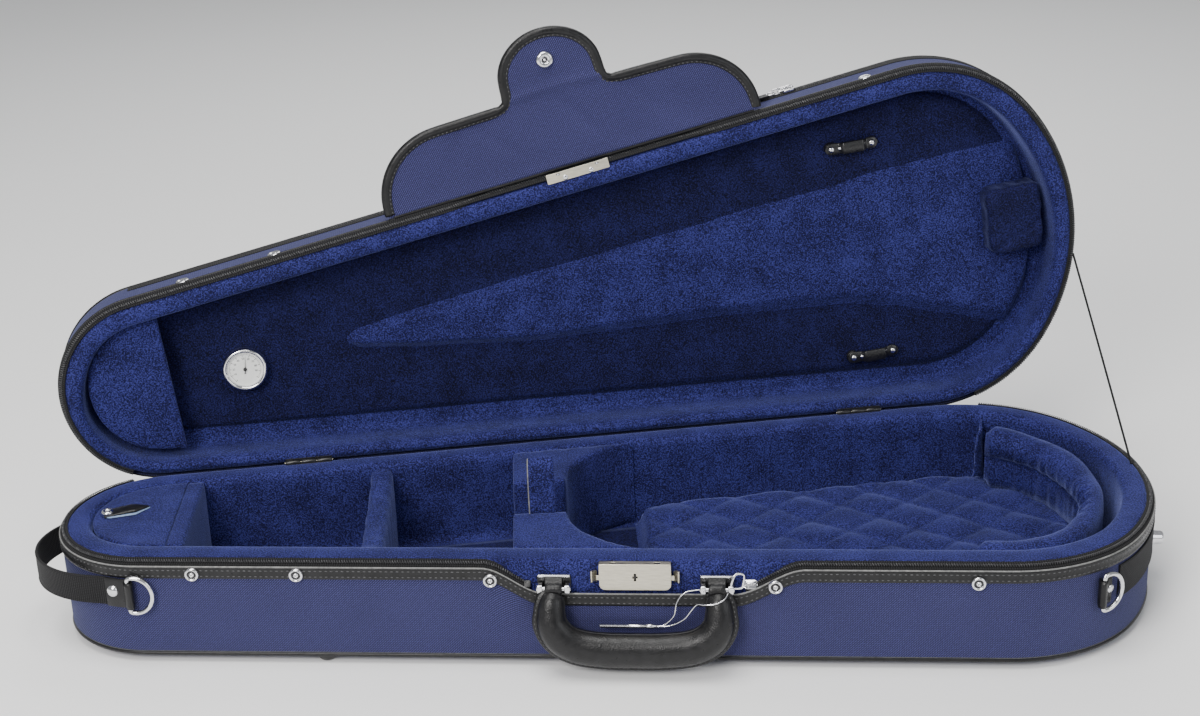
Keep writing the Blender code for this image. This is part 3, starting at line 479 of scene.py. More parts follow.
def plate(outer, thickness, holes=(), edge=0.2):
    """A flat plate with rounded edges in XY, centred on Z."""
    curve = bpy.data.curves.new("plate", "CURVE")
    curve.dimensions = "2D"
    curve.fill_mode = "BOTH"
    curve.extrude = thickness / 2 - edge
    curve.bevel_depth = edge
    curve.bevel_resolution = 2
    curve.offset = -edge
    for loop in (outer, *holes):
        spline = curve.splines.new("POLY")
        spline.points.add(len(loop) - 1)
        for i, (x, y) in enumerate(loop):
            spline.points[i].co = (x, y, 0, 1)
        spline.use_cyclic_u = True
    bm = bmesh.new()
    bm.from_mesh(used_up(bpy.data.objects.new("plate", curve)))
    bmesh.ops.remove_doubles(bm, verts=bm.verts, dist=0.001)
    return bm


def rounded(width, height, radius, steps=5):
    """The outline of a rectangle with round corners. radius may be four numbers, from the top right on."""
    radii = radius if hasattr(radius, "__len__") else [radius] * 4
    points = []
    for k, (sx, sy) in enumerate(((1, 1), (-1, 1), (-1, -1), (1, -1))):
        r = radii[k]
        cx, cy = sx * (width / 2 - r), sy * (height / 2 - r)
        for i in range(steps + 1):
            a = QUARTER * (k + i / steps)
            points.append((cx + r * cos(a), cy + r * sin(a)))
    return points


def soft_piece(node, voxel, rounds, ripple=0.0, size=20.0):
    """Velvet over a CAD node: its shape with the edges eased, and ripples of this height and size."""
    source = frame["nodes"][node]
    mesh = source.data.copy()
    mesh.transform(Matrix.Diagonal((1 / MM, 1 / MM, 1 / MM, 1)) @ source.matrix_world)
    if NODE_BODY[node] in LID_BODIES:
        mesh.transform(OPEN.inverted())
    obj = bpy.data.objects.new("soft", mesh)
    remesh = obj.modifiers.new("remesh", "REMESH")
    remesh.mode, remesh.voxel_size = "VOXEL", voxel
    eased = obj.modifiers.new("ease", "SMOOTH")
    eased.factor, eased.iterations = 0.5, rounds
    made = used_up(obj)
    for v in made.vertices:
        v.co += v.normal * (ripple * wobble(v.co / size))
    piece(f"{node}_velvet", made, "velvet", NODE_BODY[node], [node])


NODE_BODY = {node: body for body, nodes in frame["record"]["behaviour"]["bodies"].items() for node in nodes}


# ---- places on the case ----
def arc(centre, radius, start, end):
    count = max(int(abs(end - start) * radius / STEP), 2)
    turns = [start + (end - start) * i / count for i in range(count)]
    return [(centre[0] + radius * cos(a), centre[1] + radius * sin(a), a, None) for a in turns]


def make_stations():
    """(x, y, outward angle, distance along the front side or None), anticlockwise from the wide end."""
    count = int(SIDE_LEN / STEP)
    steps = [SIDE_LEN * i / count for i in range(count)]
    up, down = QUARTER + TAPER, -QUARTER - TAPER
    made = arc((END_X, 0), END_R, 0, JOIN) + arc((CORNER_X, CORNER_Y), CORNER_R, JOIN, up)
    made += [(*(SIDE_END - REAR_DIR * s).xy, up, None) for s in steps]
    made += arc((TIP_X, 0), TIP_R, up, 2 * pi + down)
    front = Vector((SIDE_START.x, -SIDE_START.y, 0))
    made += [(*(front + FRONT_DIR * s).xy, down, s) for s in steps]
    made += arc((CORNER_X, -CORNER_Y), CORNER_R, down, -JOIN) + arc((END_X, 0), END_R, -JOIN, 0)
    return made


STATIONS = make_stations()


def dip(s):
    """How far the rim line drops round the lock, at s along the front side."""
    if s is None:
        return 0
    away = s - LOCK_S
    near, far = (62.0, 105.0) if away < 0 else (66.0, 115.0)
    t = min(max((far - abs(away)) / (far - near), 0), 1)
    return DIP_DEPTH * t * t * (3 - 2 * t)


def cap_ends(bm, around, count):
    """Closes both ends of a strip of count sections with this many points around."""
    bm.verts.ensure_lookup_table()
    for k in (0, count - 1):
        bm.faces.new([bm.verts[i * count + k] for i in range(around)])
    return bm


def sweep(section, stations=None, closed=True, closed_section=True, caps=False):
    """Sweeps section(station), a list of (inset, z), round the outline."""
    stations = stations or STATIONS
    columns = []
    for st in stations:
        x, y, a, _ = st
        columns.append([(x - i * cos(a), y - i * sin(a), z) for i, z in section(st)])
    rows = [list(row) for row in zip(*columns)]
    bm = grid(rows, closed_rows=closed_section, closed_columns=closed)
    return cap_ends(bm, len(rows), len(stations)) if caps else bm


def circle_section(inset, z, radius, sides=8, drop=lambda s: 0):
    turns = [2 * pi * k / sides for k in range(sides)]
    return lambda st: [
        (inset + radius * cos(a), z + drop(st[3]) + radius * sin(a)) for a in turns
    ]


def front_point(s, out, z):
    """The point at s along the front side, this far out of it."""
    start = Vector((SIDE_START.x, -SIDE_START.y, 0))
    outward = Vector((-sin(TAPER), -cos(TAPER), 0))
    return start + FRONT_DIR * s + outward * out + Vector((0, 0, z))


def front(s, out, z):
    """A frame on the front wall: X along it, -Y out of it, Z up."""
    return Matrix.Translation(front_point(s, out, z)) @ spin(-TAPER, "Z")


def facing_out(s, out, z):
    """As front, but with Z out of the wall and Y up."""
    return front(s, out, z) @ spin(QUARTER, "X")


def round_wall(a, out, z, centre=(TIP_X, 0.0), radius=TIP_R):
    """A frame on a curved wall: Z out of the wall, Y up."""
    reach = radius + out
    place = at(centre[0] + reach * cos(a), centre[1] + reach * sin(a), z)
    return place @ spin(a + QUARTER, "Z") @ spin(QUARTER, "X")


def at(x, y, z):
    return Matrix.Translation((x, y, z))


def spin(angle, axis):
    return Matrix.Rotation(angle, 4, axis)


def heading(a):
    return Vector((cos(a), sin(a), 0))


def box_mm(node):
    """A node's lowest and highest corner, in mm."""
    return [[c / MM for c in corner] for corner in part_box(node)]


def middle_of(node):
    return [(low + high) / 2 for low, high in zip(*box_mm(node))]


def half_at(x, inset):
    """Half the case's width at x, inside an inset."""
    if x < TIP_X:
        return sqrt(max((TIP_R - inset) ** 2 - (x - TIP_X) ** 2, 0))
    straight = SIDE_START.y + (x - SIDE_START.x) * tan(TAPER) - inset / cos(TAPER)
    if x < SIDE_END.x - 5:
        return straight
    corner = CORNER_Y + sqrt(max((CORNER_R - inset) ** 2 - max(x - CORNER_X, 0) ** 2, 0))
    end = sqrt(max((END_R - inset) ** 2 - (x - END_X) ** 2, 0))
    return min(straight if x < CORNER_X else corner, corner, end if x > CORNER_X + 60 else corner)


def ease(t):
    t = min(max(t, 0), 1)
    return t * t * (3 - 2 * t)


# ---- base ----
TRIM_DEPTH = 8.6


def rim_inset(st):
    """How far in the base's velvet rim reaches: wider in front."""
    return LINING_BASE + FRONT_EXTRA * max(-sin(st[2]), 0) ** 2


def make_base_canvas():
    def wall(st):
        top = BASE_RIM - 2 - dip(st[3])
        outside = [(0, top), (0, top * 0.7), (0, top * 0.4), (0, 5), (0.3, 2.8), (1.1, 1.1),
                   (2.8, 0.25), (5, 0)]
        return [(60, 4.5), (2.2, 4.5), (2, 6), (1.4, top)] + outside + [(20, 0), (60, 0)]

    bm = sweep(wall, closed_section=False)
    fill_middle(bm)
    piece("base_canvas", bm, "canvas", "base", ["base_shell"])
    piece("base_bottom_piping", sweep(circle_section(0.9, 1.9, 1.6)), "leather", "base")
    # A thin grey line along the top of the bottom piping: a painted highlight on the piping.
    piece("base_bottom_painted_highlight", sweep(circle_section(0.15, 3.8, 0.4, 6)), "thread", "base")


def zip_stations():
    """The stations that the zip covers: all but the hinged side."""
    clear = radians(20)
    up = QUARTER + TAPER
    count = len(STATIONS)
    start = next(i for i, st in enumerate(STATIONS) if st[2] > up + clear)
    stop = next(i for i, st in enumerate(STATIONS) if st[2] > up - clear and i < count / 2)
    return STATIONS[start:] + STATIONS[:stop]


def stitches(name, line, look, body, length=2.3, gap=1.5, size=0.42, **kwargs):
    """A row of short stitches, thin at both ends, along a line of (point, surface normal)."""
    bm = bmesh.new()
    pitch = length + gap
    run, wanted = 0.0, pitch / 2
    for (a, na), (b, _) in zip(line, line[1:]):
        ahead = b - a
        span = ahead.length
        if span < 1e-6:
            continue
        ahead /= span
        while wanted <= run + span:
            centre = a + ahead * (wanted - run)
            side = na.cross(ahead).normalized()
            rings = []
            for t, r in ((-0.5, 0.25), (-0.36, 0.9), (0, 1.15), (0.36, 0.9), (0.5, 0.25)):
                c = centre + ahead * (length * t) - na * (size * (1.4 * abs(t)))
                turns = [k * pi / 3 for k in range(6)]
                rings.append([
                    bm.verts.new(c + side * (size * r * cos(turn)) + na * (size * r * sin(turn)))
                    for turn in turns
                ])
            for low, high in zip(rings, rings[1:]):
                for k in range(6):
                    bm.faces.new((low[k], low[(k + 1) % 6], high[(k + 1) % 6], high[k]))
            bm.faces.new(rings[0])
            bm.faces.new(rings[-1])
            wanted += pitch
        run += span
    return piece(name, bm, look, body, **kwargs)


def rim_line(stations, place_of):
    """(point, outward direction) at each station. place_of(station) gives (inset, z)."""
    line = []
    for st in stations:
        inset, z = place_of(st)
        out = heading(st[2])
        line.append((Vector((st[0], st[1], z)) - out * inset, out))
    return line


def coil(stations, place_of, radius=1.0, pitch=1.75, wire=0.42):
    """A zip's coil as one flattened helix along the rim."""
    centres = rim_line(stations, place_of)
    per_turn = 8
    points = []
    run, wanted, turn = 0.0, 0.0, 0.0
    step = pitch / per_turn
    for (a, oa), (b, ob) in zip(centres, centres[1:]):
        span = (b - a).length
        while wanted <= run + span:
            t = (wanted - run) / span
            out = oa.lerp(ob, t).normalized()
            across = (out + Vector((0, 0, 1))).normalized()
            up = (b - a).normalized().cross(across)
            centre = a.lerp(b, t)
            points.append(centre + across * (radius * cos(turn)) + up * (radius * sin(turn) * 0.8))
            wanted += step
            turn += 2 * pi / per_turn
        run += span
    return tube(points, wire, sides=4)


def make_base_zip():
    """Pale piping, tape and coil of the base's zip. The zip stops at the handle's brackets."""
    z = lambda up, st: BASE_RIM + up - dip(st[3])

    def tape_section(st):
        points = [(0.1, 0.4), (-0.45, 1.2), (-0.1, 2.0), (0.6, 1.7), (1.7, 2.3), (3.2, 3.8), (4.3, 4.9),
                  (5.1, 5.0), (5.2, 3.2), (1.4, -0.4)]
        return [(i, z(h, st)) for i, h in points]

    zipped = zip_stations()
    gap = [k for k, st in enumerate(zipped) if st[3] is not None and -72 < st[3] - LOCK_S < 74]
    for name, stretch in (("left", zipped[: gap[0]]), ("right", zipped[gap[-1] + 1:])):
        tape = sweep(tape_section, stretch, closed=False, caps=True)
        piece(f"base_zip_tape_{name}", tape, "webbing", "base", [f"base_zip_{name}"])
        piece(f"base_zip_coil_{name}", coil(stretch, lambda st: (COIL_INSET, z(3.7, st))), "coil", "base")
    piping = circle_section(-0.75, BASE_RIM + 0.6, 0.6, drop=lambda s: -dip(s))
    piece("base_pale_piping", sweep(piping), "piping", "base")


def make_base_trim():
    """The leather strip below the rim, with a line of stitches near each edge, and the zip."""
    def strip(st):
        low, high = BASE_RIM - TRIM_DEPTH - dip(st[3]), BASE_RIM + 0.4 - dip(st[3])
        outer = [(0.1, low), (-0.7, low - 0.1), (-1.25, low + 0.7), (-1.3, low + 2), (-1.0, low + 3)]
        outer += [(-1.15, low + 5), (-1.2, low + 7), (-1.25, high - 0.7), (-0.8, high), (0.1, high)]
        return outer + [(1.2, high - 0.5), (1.2, low + 0.5)]

    piece("base_leather_strip", sweep(strip), "leather", "base", ["base_trim"])
    for name, up in (("low", -TRIM_DEPTH + 2.0), ("high", -2.2)):
        line = rim_line(STATIONS, lambda st: (-1.25, BASE_RIM + up - dip(st[3])))
        stitches(f"base_stitches_{name}", line + line[:1], "thread", "base")
    make_base_zip()


def make_base_velvet():
    top = MID_Z - 0.3

    def rim(st):
        inner = rim_inset(st)
        x, y, *_ = st
        swell = 0.5 * wobble(Vector((x, y, 0)) / 40)
        wave = 0.7 * wobble(Vector((x, y, 30)) / 28)
        return [
            (3.2, 40), (3.1, BASE_RIM - 12), (3.7, BASE_RIM - 1.5), (4.8, BASE_RIM + 2.2),
            (5.2, BASE_RIM + 4.0), (6.0, top - 0.3), (8, top - 0.1 + 0.2 * swell),
            (inner * 0.55, top + 0.2 * swell), (inner - 5, top - 0.2 + 0.3 * swell),
            (inner - 2.6, top - 0.9), (inner - 0.9, top - 2.6), (inner - 0.1 + 0.3 * wave, top - 5.5),
            (inner + 0.3 * wave, top - 12), (inner + 0.6 * wave, 45), (inner + 0.8 * wave, 28),
            (inner + 0.5 * wave, 12), (inner + 0.8, 6.5), (inner + 3, 5.1), (inner + 22, 4.95),
            (inner + 22, 4.75), (3.5, 4.75), (3.2, 20),
        ]

    piece("base_velvet", sweep(rim), "velvet", "base", ["base_lining"])
    # The floor is in the darker velvet: painted shade in the base's recesses.
    sheet_across("base_floor_velvet", LINING_BASE + 8, 5.0, 0.6, "velvet_painted_shade", "base")


def sheet_across(name, inset, z, depth, look, body):
    """A flat velvet panel that fills the outline inside an inset."""
    x0, x1 = -LENGTH / 2 + inset + 0.2, LENGTH / 2 - inset - 0.2
    rows = []
    for i in range(261):
        x = x0 + (x1 - x0) * ((1 - cos(pi * i / 260)) / 2)
        half = max(half_at(x, inset), 0.5)
        rows.append([(x, half * (k / 15 - 1), z + 0.15 * wobble(Vector((x, k * 6, 3)) / 30))
                     for k in range(31)])
    panel = piece(name, grid(rows), look, body, smooth=180)
    thicken(panel, depth, 0)


def make_interior():
    """The walls, blocks and pads inside the base."""
    soft_piece("tip_wall", 2.2, 5)
    # The divider is a padded band: its top sags in the middle and drops towards the front.
    middle = middle_of("divider")[0]
    rows = []
    half = half_at(middle, LINING_BASE - 3)
    for k in range(41):
        y = -half + 2 * half * k / 40
        t = y / half
        top = 71.5 - 5.5 * (1 - t * t) - 2.0 * ease(-t) + 0.5 * wobble(Vector((0, y, 5)) / 9)
        w = 8.3 + 0.5 * wobble(Vector((y, 0, 0)) / 12)
        bulge = 0.6 * wobble(Vector((0, y, 0)) / 15)
        rows.append([
            (middle + sx * w + bulge, y, z) for sx, z in (
                (-1, 5), (-1.02, 25), (-1.02, 48), (-1, top - 7), (-0.86, top - 2.4), (-0.5, top - 0.4),
                (0, top), (0.5, top - 0.4), (0.86, top - 2.4), (1, top - 7), (1.02, 48), (1.02, 25),
                (1, 5))
        ])
    piece("divider_velvet", grid(rows, closed_columns=True, caps=True), "velvet", "base", ["divider"])

    soft_piece("neck_block", 2.2, 6, 0.4, 25)
    soft_piece("tip_hatch", 1.1, 4, 0.25, 15)
    make_hatch_tab()
    make_neck_strap()
    make_floor_pad()
    make_bolster()


def make_hatch_tab():
    """A folded leather tab, pointed at its right, with a chrome ring at its left end."""
    turn = at(-349.5, 5, MID_Z + 0.6) @ spin(0.3, "Z")
    outline = [(-17, -3.6), (-13, -6), (5, -7.2), (16.5, 0.4), (6, 7.2), (-13, 6), (-17, 3.6)]
    piece("hatch_tab_lower", plate(outline, 0.9, edge=0.3), "edge", "tip_hatch", ["hatch_tab"],
          turn @ at(0.4, -0.9, 0))
    rows = []
    for k in range(29):
        x = -16.6 + 33 * k / 28
        w = 6.6 * min(1, (16.6 - x) / 11) ** 0.8 if x > 5.5 else 5.6 + (x + 16.6) * 0.045
        w = max(w, 0.4)
        rise = 0.9 + 2.0 * sin(pi * (k / 28) ** 1.4)
        rows.append([(x, w * t, rise * (1 - 0.5 * t * t) + 0.3) for t in (-1, -0.7, -0.3, 0, 0.3, 0.7, 1)])
    thicken(piece("hatch_tab_leather", grid(rows), "leather", "tip_hatch", matrix=turn), 0.9)
    ring = [(1.6, 1.9), (2.4, 2.6), (3.6, 2.4), (4.4, 1.4), (4.4, 0.6), (1.6, 0.6), (1.6, 1.9)]
    turned("hatch_tab_eyelet", ring, "chrome", "tip_hatch", turn @ at(-13.5, 0, 0.8), steps=32)


def thicken(obj, thickness, offset=-1.0):
    solid = obj.modifiers.new("thickness", "SOLIDIFY")
    solid.thickness = thickness * MM
    solid.offset = offset
    return obj


def apply_modifiers(obj):
    mesh = evaluated(obj)
    obj.modifiers.clear()
    obj.data = mesh


def make_neck_strap():
    """The neck tie: a velvet strap that stands up out of the front of the notch and curls back."""
    (x0, y0, z0), (x1, *_) = box_mm("neck_strap")
    side = smooth_line([(0, y0 + 1.6, z0 - 6), (0, y0 + 1.6, z0 + 2), (0, y0 + 4.5, z0 + 14),
                        (0, y0 + 6.2, z0 + 26), (0, y0 + 9.4, z0 + 34.5), (0, y0 + 12.5, z0 + 37.2)], 6)
    rows = []
    for k, p in enumerate(side):
        t = k / (len(side) - 1)
        spread = 1 + 0.05 * sin(3 * t)
        rows.append([
            (x0 + (x1 - x0) * (0.5 + (w - 0.5) * spread), p.y + 1.1 * cos(pi * (w - 0.5)), p.z + 0.5 * w)
            for w in [i / 8 for i in range(9)]
        ])
    strap = piece("neck_strap_velvet", grid(rows), "velvet", "neck_strap", ["neck_strap"])
    thicken(strap, 1.9, 0)
    # The left edge is pale: painted light on the strap's lit edge. The right edge is plain velvet.
    for name, w, look in (("left", 0, "piping"), ("right", 8, "velvet")):
        piece(f"neck_strap_edge_{name}", tube([row[w] for row in rows], 0.75, 8), look, "neck_strap")


def make_floor_pad():
    """The quilted blanket: crowned diamonds between sewn lines."""
    low, high = box_mm("floor_pad")
    x0, x1 = low[0] - 0.5, high[0] - 0.5
    columns, count = 150, 90
    level = 21.15  # height of the sewn lines
    rows = []
    for j in range(count + 1):
        v = -1 + 2 * j / count
        row = []
        for i in range(columns + 1):
            x = x0 + (x1 - x0) * (1 - (1 - i / columns) ** 1.25)
            half = half_at(x, LINING_BASE + 0.6) + 0.6 - 8 * ease((x0 + 26 - x) / 26)
            y = half * v
            p, q = x / QUILT_X + y / QUILT_Y, x / QUILT_X - y / QUILT_Y
            puff = (abs(sin(pi * p)) * abs(sin(pi * q))) ** 0.32
            edge = min(ease((1 - abs(v)) * half / 9), ease((x - x0) / 10), ease((x1 - x) / 9))
            row.append((x, y, 8 + edge * (13.6 + 3.0 * puff + 1.6 * wobble(Vector((x, y, 0)) / 30))))
        rows.append(row)
    pad = piece("floor_pad_quilt", grid(rows), "velvet", "base", ["floor_pad"])
    for family, sign in (("a", 1), ("b", -1)):
        lines = bmesh.new()
        for k in range(-8, 16):
            points = []
            for i in range(columns):
                x = x0 + 12 + (x1 - x0 - 18) * (i / columns)
                y = sign * QUILT_Y * (k - x / QUILT_X)
                if abs(y) <= half_at(x, LINING_BASE + 0.6) - 5:
                    points.append((x, y, level + 1.6 * wobble(Vector((x, y, 0)) / 30)))
            if len(points) > 5:
                seam = tube(points, 0.4, 5)
                mesh = bpy.data.meshes.new("seam")
                seam.to_mesh(mesh)
                seam.free()
                lines.from_mesh(mesh)
                bpy.data.meshes.remove(mesh)
        piece(f"floor_pad_seams_{family}", lines, "velvet", "base")


def make_bolster():
    """The padded band round the wide end: a rolled top over a flatter skirt, puckered where it bends."""
    first = next(i for i, st in enumerate(STATIONS) if st[3] is not None and st[0] > 243)
    last = next(i for i, st in enumerate(STATIONS) if st[0] < 313 and st[1] > 0)
    stations = STATIONS[first:] + STATIONS[:last]
    n = len(stations)
    low = box_mm("bolster")[0][2]
    profile = [
        (29.6, 0), (29.3, 18), (29.2, 34), (30.0, 41), (33, 45.6), (38, 47.2), (44, 47), (49.2, 44.8),
        (52.2, 41), (52.8, 36), (51.8, 31), (49.4, 27.4), (46.6, 25.4), (48.2, 23), (48.8, 18),
        (48.2, 9), (47, 0),
    ]

    def section(st):
        k = stations.index(st)
        t, u = k / (n - 1), k * STEP
        end = min(ease(k * STEP / 10), ease((n - 1 - k) * STEP / 10))
        bend = exp(-(((t - 0.5) / 0.09) ** 2)) + 0.35 * exp(-(((t - 0.8) / 0.1) ** 2))
        away = 5 * exp(-(((t - 0.42) / 0.2) ** 2))
        made = []
        for m, (i, z) in enumerate(profile):
            inner = max(0, (i - 37) / 10)
            fold = ridged_multi_fractal(Vector((u / 10, z / 38, 3)), 1.0, 2.0, 3, 1.0, 2.0) - 1.0
            pleat = bend * abs(sin(u / 5.6 + 0.05 * z)) * 3.4
            ripple = (0.45 + 1.6 * bend) * fold * 0.9 + pleat + 0.7 * wobble(Vector((u / 26, z / 20, 0)))
            sag = 1.4 * wobble(Vector((u / 45, 7, 0))) if 2 < m < 11 else 0
            i = i + away * max(0, 1 - inner) - ripple * inner
            made.append((40 + (i - 40) * (0.45 + 0.55 * end),
                         low + 22 + (z + sag - 22) * (0.8 + 0.2 * end)))
        return made

    bolster = piece("bolster_velvet", sweep(section, stations, closed=False, caps=True), "velvet", "base",
                    ["bolster"], smooth=180)

    # A loose fold of the cover hangs at the roll's rear end.
    x, y, a, _ = stations[-1]
    out, along = heading(a), Vector((-sin(a), cos(a), 0))
    rows = []
    for k in range(25):
        drop = k / 24
        row = []
        for w in range(17):
            v = w / 16
            wave = 3.2 * sin(2.2 * pi * v + 0.5) * (0.35 + 0.65 * drop)
            wave += 1.2 * wobble(Vector((v * 3, drop * 2, 9)))
            p = Vector((x, y, 0)) - out * (24.5 + 20 * v * (0.75 + 0.25 * drop)) + along * (5.5 + wave)
            row.append((p.x, p.y, low + 47 - 41 * drop - 5 * v * v * (1 - drop)))
        rows.append(row)
    fold = thicken(piece("bolster_fold", grid(rows), "velvet", "base", smooth=180), 1.5, 0)


def turned(name, profile, look, body, matrix, replaces=(), steps=40):
    piece(name, lathe(profile, steps), look, body, replaces, matrix)


def rod(radius, half_length):
    return [(0, half_length), (radius, half_length), (radius, -half_length), (0, -half_length)]


def make_studs():
    ring = [(2.9, 0.1), (3.0, 0.5), (3.15, 1.5), (3.6, 2.1), (4.2, 2.2), (4.8, 1.7), (5.1, 0.8),
            (5.1, 0.1), (2.9, 0.1)]
    pin = [(0, 0.9), (0.5, 1.0), (0.7, 1.8), (1.1, 2.1), (1.5, 1.9), (1.8, 1.3), (1.8, 0.4), (0, 0.4)]
    seat = [(0, 0.55), (3.05, 0.55), (3.05, 0.1), (0, 0.1)]
    for number in range(1, 6):
        x, _, z = middle_of(f"rivet_{number}")
        place = facing_out((x - SIDE_START.x) / cos(TAPER), 1.4, z)
        turned(f"rivet_{number}_ring", ring, "chrome", "base", place, [f"rivet_{number}"])
        turned(f"rivet_{number}_seat", seat, "plastic", "base", place)
        turned(f"rivet_{number}_pin", pin, "chrome", "base", place)


def make_feet():
    for number in range(1, 5):
        x, y, _ = middle_of(f"foot_{number}")
        place = at(x, y, 0)
        dome = [(0, 0.2), (6.5, 0.2), (6.6, -0.8), (6.0, -2.4), (4.8, -4.0), (3.2, -4.85), (1.5, -5.0),
                (0, -5.0)]
        turned(f"foot_{number}_dome", dome, "plastic", "base", place, [f"foot_{number}"])
    for number, y in enumerate((-22.0, 22.0), 1):
        place = round_wall(asin(y / END_R), 0, 30, centre=(END_X, 0), radius=END_R)
        cone = [(0, 11.0), (1.6, 11.1), (2.0, 12), (3.4, 11.9), (4.4, 11.2), (4.9, 9.8), (5.2, 5),
                (6.4, 3.4), (6.5, 2.2), (0, 2.2)]
        turned(f"end_foot_{number}_cone", cone, "chrome", "base", place, [f"end_foot_{number}"])


def make_lock():
    """Satin plate with two bright slots in its folded top, a cross keyhole and bent slider ears."""
    arm, half = 0.75, 2.9
    cross = [(arm, half), (-arm, half), (-arm, arm), (-half * 0.62, arm), (-half * 0.62, -arm),
             (-arm, -arm), (-arm, -half), (arm, -half), (arm, -arm), (half * 0.62, -arm),
             (half * 0.62, arm), (arm, arm)]
    outer = rounded(49, 19.4, (1.0, 1.0, 4.2, 4.2))
    piece("lock_face", plate(outer, 1.3, [cross], 0.3), "nickel", "base", ["lock_plate", "lock_plug"],
          facing_out(LOCK_S, 1.1, LOCK_FACE_Z))
    keyway = [(0, 0.3), (3.1, 0.3), (3.3, 0), (3.3, -1), (0, -1)]
    turned("lock_keyway", keyway, "plastic", "lock_plug", facing_out(LOCK_S, 0.2, LOCK_FACE_Z), steps=32)
    bars = [[(x - 2.2, -1.1), (x + 2.2, -1.1), (x + 2.2, 0.9), (x - 2.2, 0.9)]
            for x in (-SLOT_SPREAD, SLOT_SPREAD)]
    piece("lock_ledge", plate(rounded(49, 5.2, 1), 1.0, bars, 0.25), "nickel", "base",
          matrix=front(LOCK_S, -0.9, MID_Z - 0.9))
    for side, name in SIDES:
        slot = plate(rounded(4.2, 1.8, 0.4), 0.6, edge=0.1)
        piece(f"lock_slot_{name}", slot, "chrome", "base",
              matrix=front(LOCK_S + SLOT_SPREAD * side, -0.9, MID_Z - 6.4))
    bar = plate(rounded(58, 3.6, 0.6), 1.1, edge=0.2)
    piece("lock_bar", bar, "nickel", "lock_slider", ["lock_slider"], facing_out(LOCK_S, -1.9, 63))
    for side, name in SIDES:
        ear = smooth_line([(0, -2.2, -0.4), (side * 1.6, -0.8, 0.4), (side * 3.0, 1.2, 1.0),
                           (side * 3.2, 2.6, 1.2)], 5)
        rows = [[(p.x, -p.y, z + p.z) for z in (-4.2, -3.6, 3.6, 4.2)] for p in ear]
        tab = piece(f"lock_ear_{name}", grid(rows), "nickel", "lock_slider",
                    matrix=front(LOCK_S + side * 26.4, 0, 64.5))
        thicken(tab, 1.1, 0)


def make_handle():
    """A padded grip, a stitched flange on its inner side and a leather loop round each pin.

    Each row of half is (distance from the middle, out of the wall, height, radius).
    """
    pin_z = next(j for j in frame["joints"] if j["name"] == "handle_swing")["pos_m"][2] / MM
    half = [(55.5, 5.4, 55.0, 5.2), (56.0, 6.6, 52.6, 7.2), (56.6, 8.4, 49.0, 8.6),
            (57.2, 10.6, 43.0, 9.4), (56.4, 12.8, 34.0, 10.8), (50, 14, 24.6, 11.8),
            (38, 14.3, 18.6, 12.2), (20, 14.4, 16.2, 12.3)]
    run = [(-x, d, z, r) for x, d, z, r in half] + [(0, 14.4, 15.8, 12.3)] + half[::-1]
    line = smooth_line([(x, -d, z) for x, d, z, _ in run], 8)
    radii = smooth_line([(r, 0, 0) for *_, r in run], 8)
    place = front(LOCK_S, 0, 0)
    rows, flange_rows, inner_line, seam = [], [], [], []
    sides = 36
    for i, p in enumerate(line):
        ahead = (line[min(i + 1, len(line) - 1)] - line[max(i - 1, 0)]).normalized()
        outward = Vector((0, -1, 0))
        outward = (outward - ahead * outward.dot(ahead)).normalized()
        below = ahead.cross(outward)  # towards the outside of the bow
        if below.z > 0 and abs(p.x) < 45:
            below = -below
        r = radii[i].x
        ring = []
        for k in range(sides):
            a = 2 * pi * k / sides
            bulge = 1 + 0.012 * wobble(p / 9 + Vector((cos(a), sin(a), 0)) * 2)
            squeeze = 0.94 + 0.06 * cos(2 * a)
            ring.append(p + (outward * (0.98 * sin(a)) + below * cos(a)) * (r * bulge * squeeze))
        rows.append(ring)
        thick = 1.5 * min(r / 6, 1)
        flange_rows.append([
            p + below * (r + along) + outward * (off * thick)
            for along, off in ((-2, 1), (1.6, 1), (2.6, 0.6), (2.9, 0), (2.6, -0.6), (1.6, -1), (-2, -1))
        ])
        inner_line.append((p + below * (r + 0.9) + outward * thick, outward))
        seam.append(p - below * (r * 0.99))
    piece("handle_grip", grid(rows, closed_columns=True, caps=True), "leather", "carrying_handle",
          ["handle"], place, 180)
    piece("handle_flange", grid(flange_rows, closed_columns=True, caps=True), "leather", "carrying_handle",
          matrix=place)
    stitches("handle_stitches", inner_line, "thread", "carrying_handle", 2.0, 1.3, 0.38, matrix=place)
    piece("handle_inner_seam", tube(seam[6:-6], 0.55, 8), "leather", "carrying_handle", matrix=place)
    turn = spin(QUARTER, "Y")
    for side, name in SIDES:
        loop = [(2.2, 5.8), (3.4, 5.8), (4.0, 5.2), (4.15, 3), (3.95, 0)]
        loop += [(r, -z) for r, z in loop[3::-1]] + loop[:1]
        turned(f"handle_loop_{name}", loop, "leather", "carrying_handle",
               front(LOCK_S + side * BRACKET_OUT, PIN_OUT, pin_z) @ turn, steps=32)
        make_bracket(name, side, turn, pin_z)


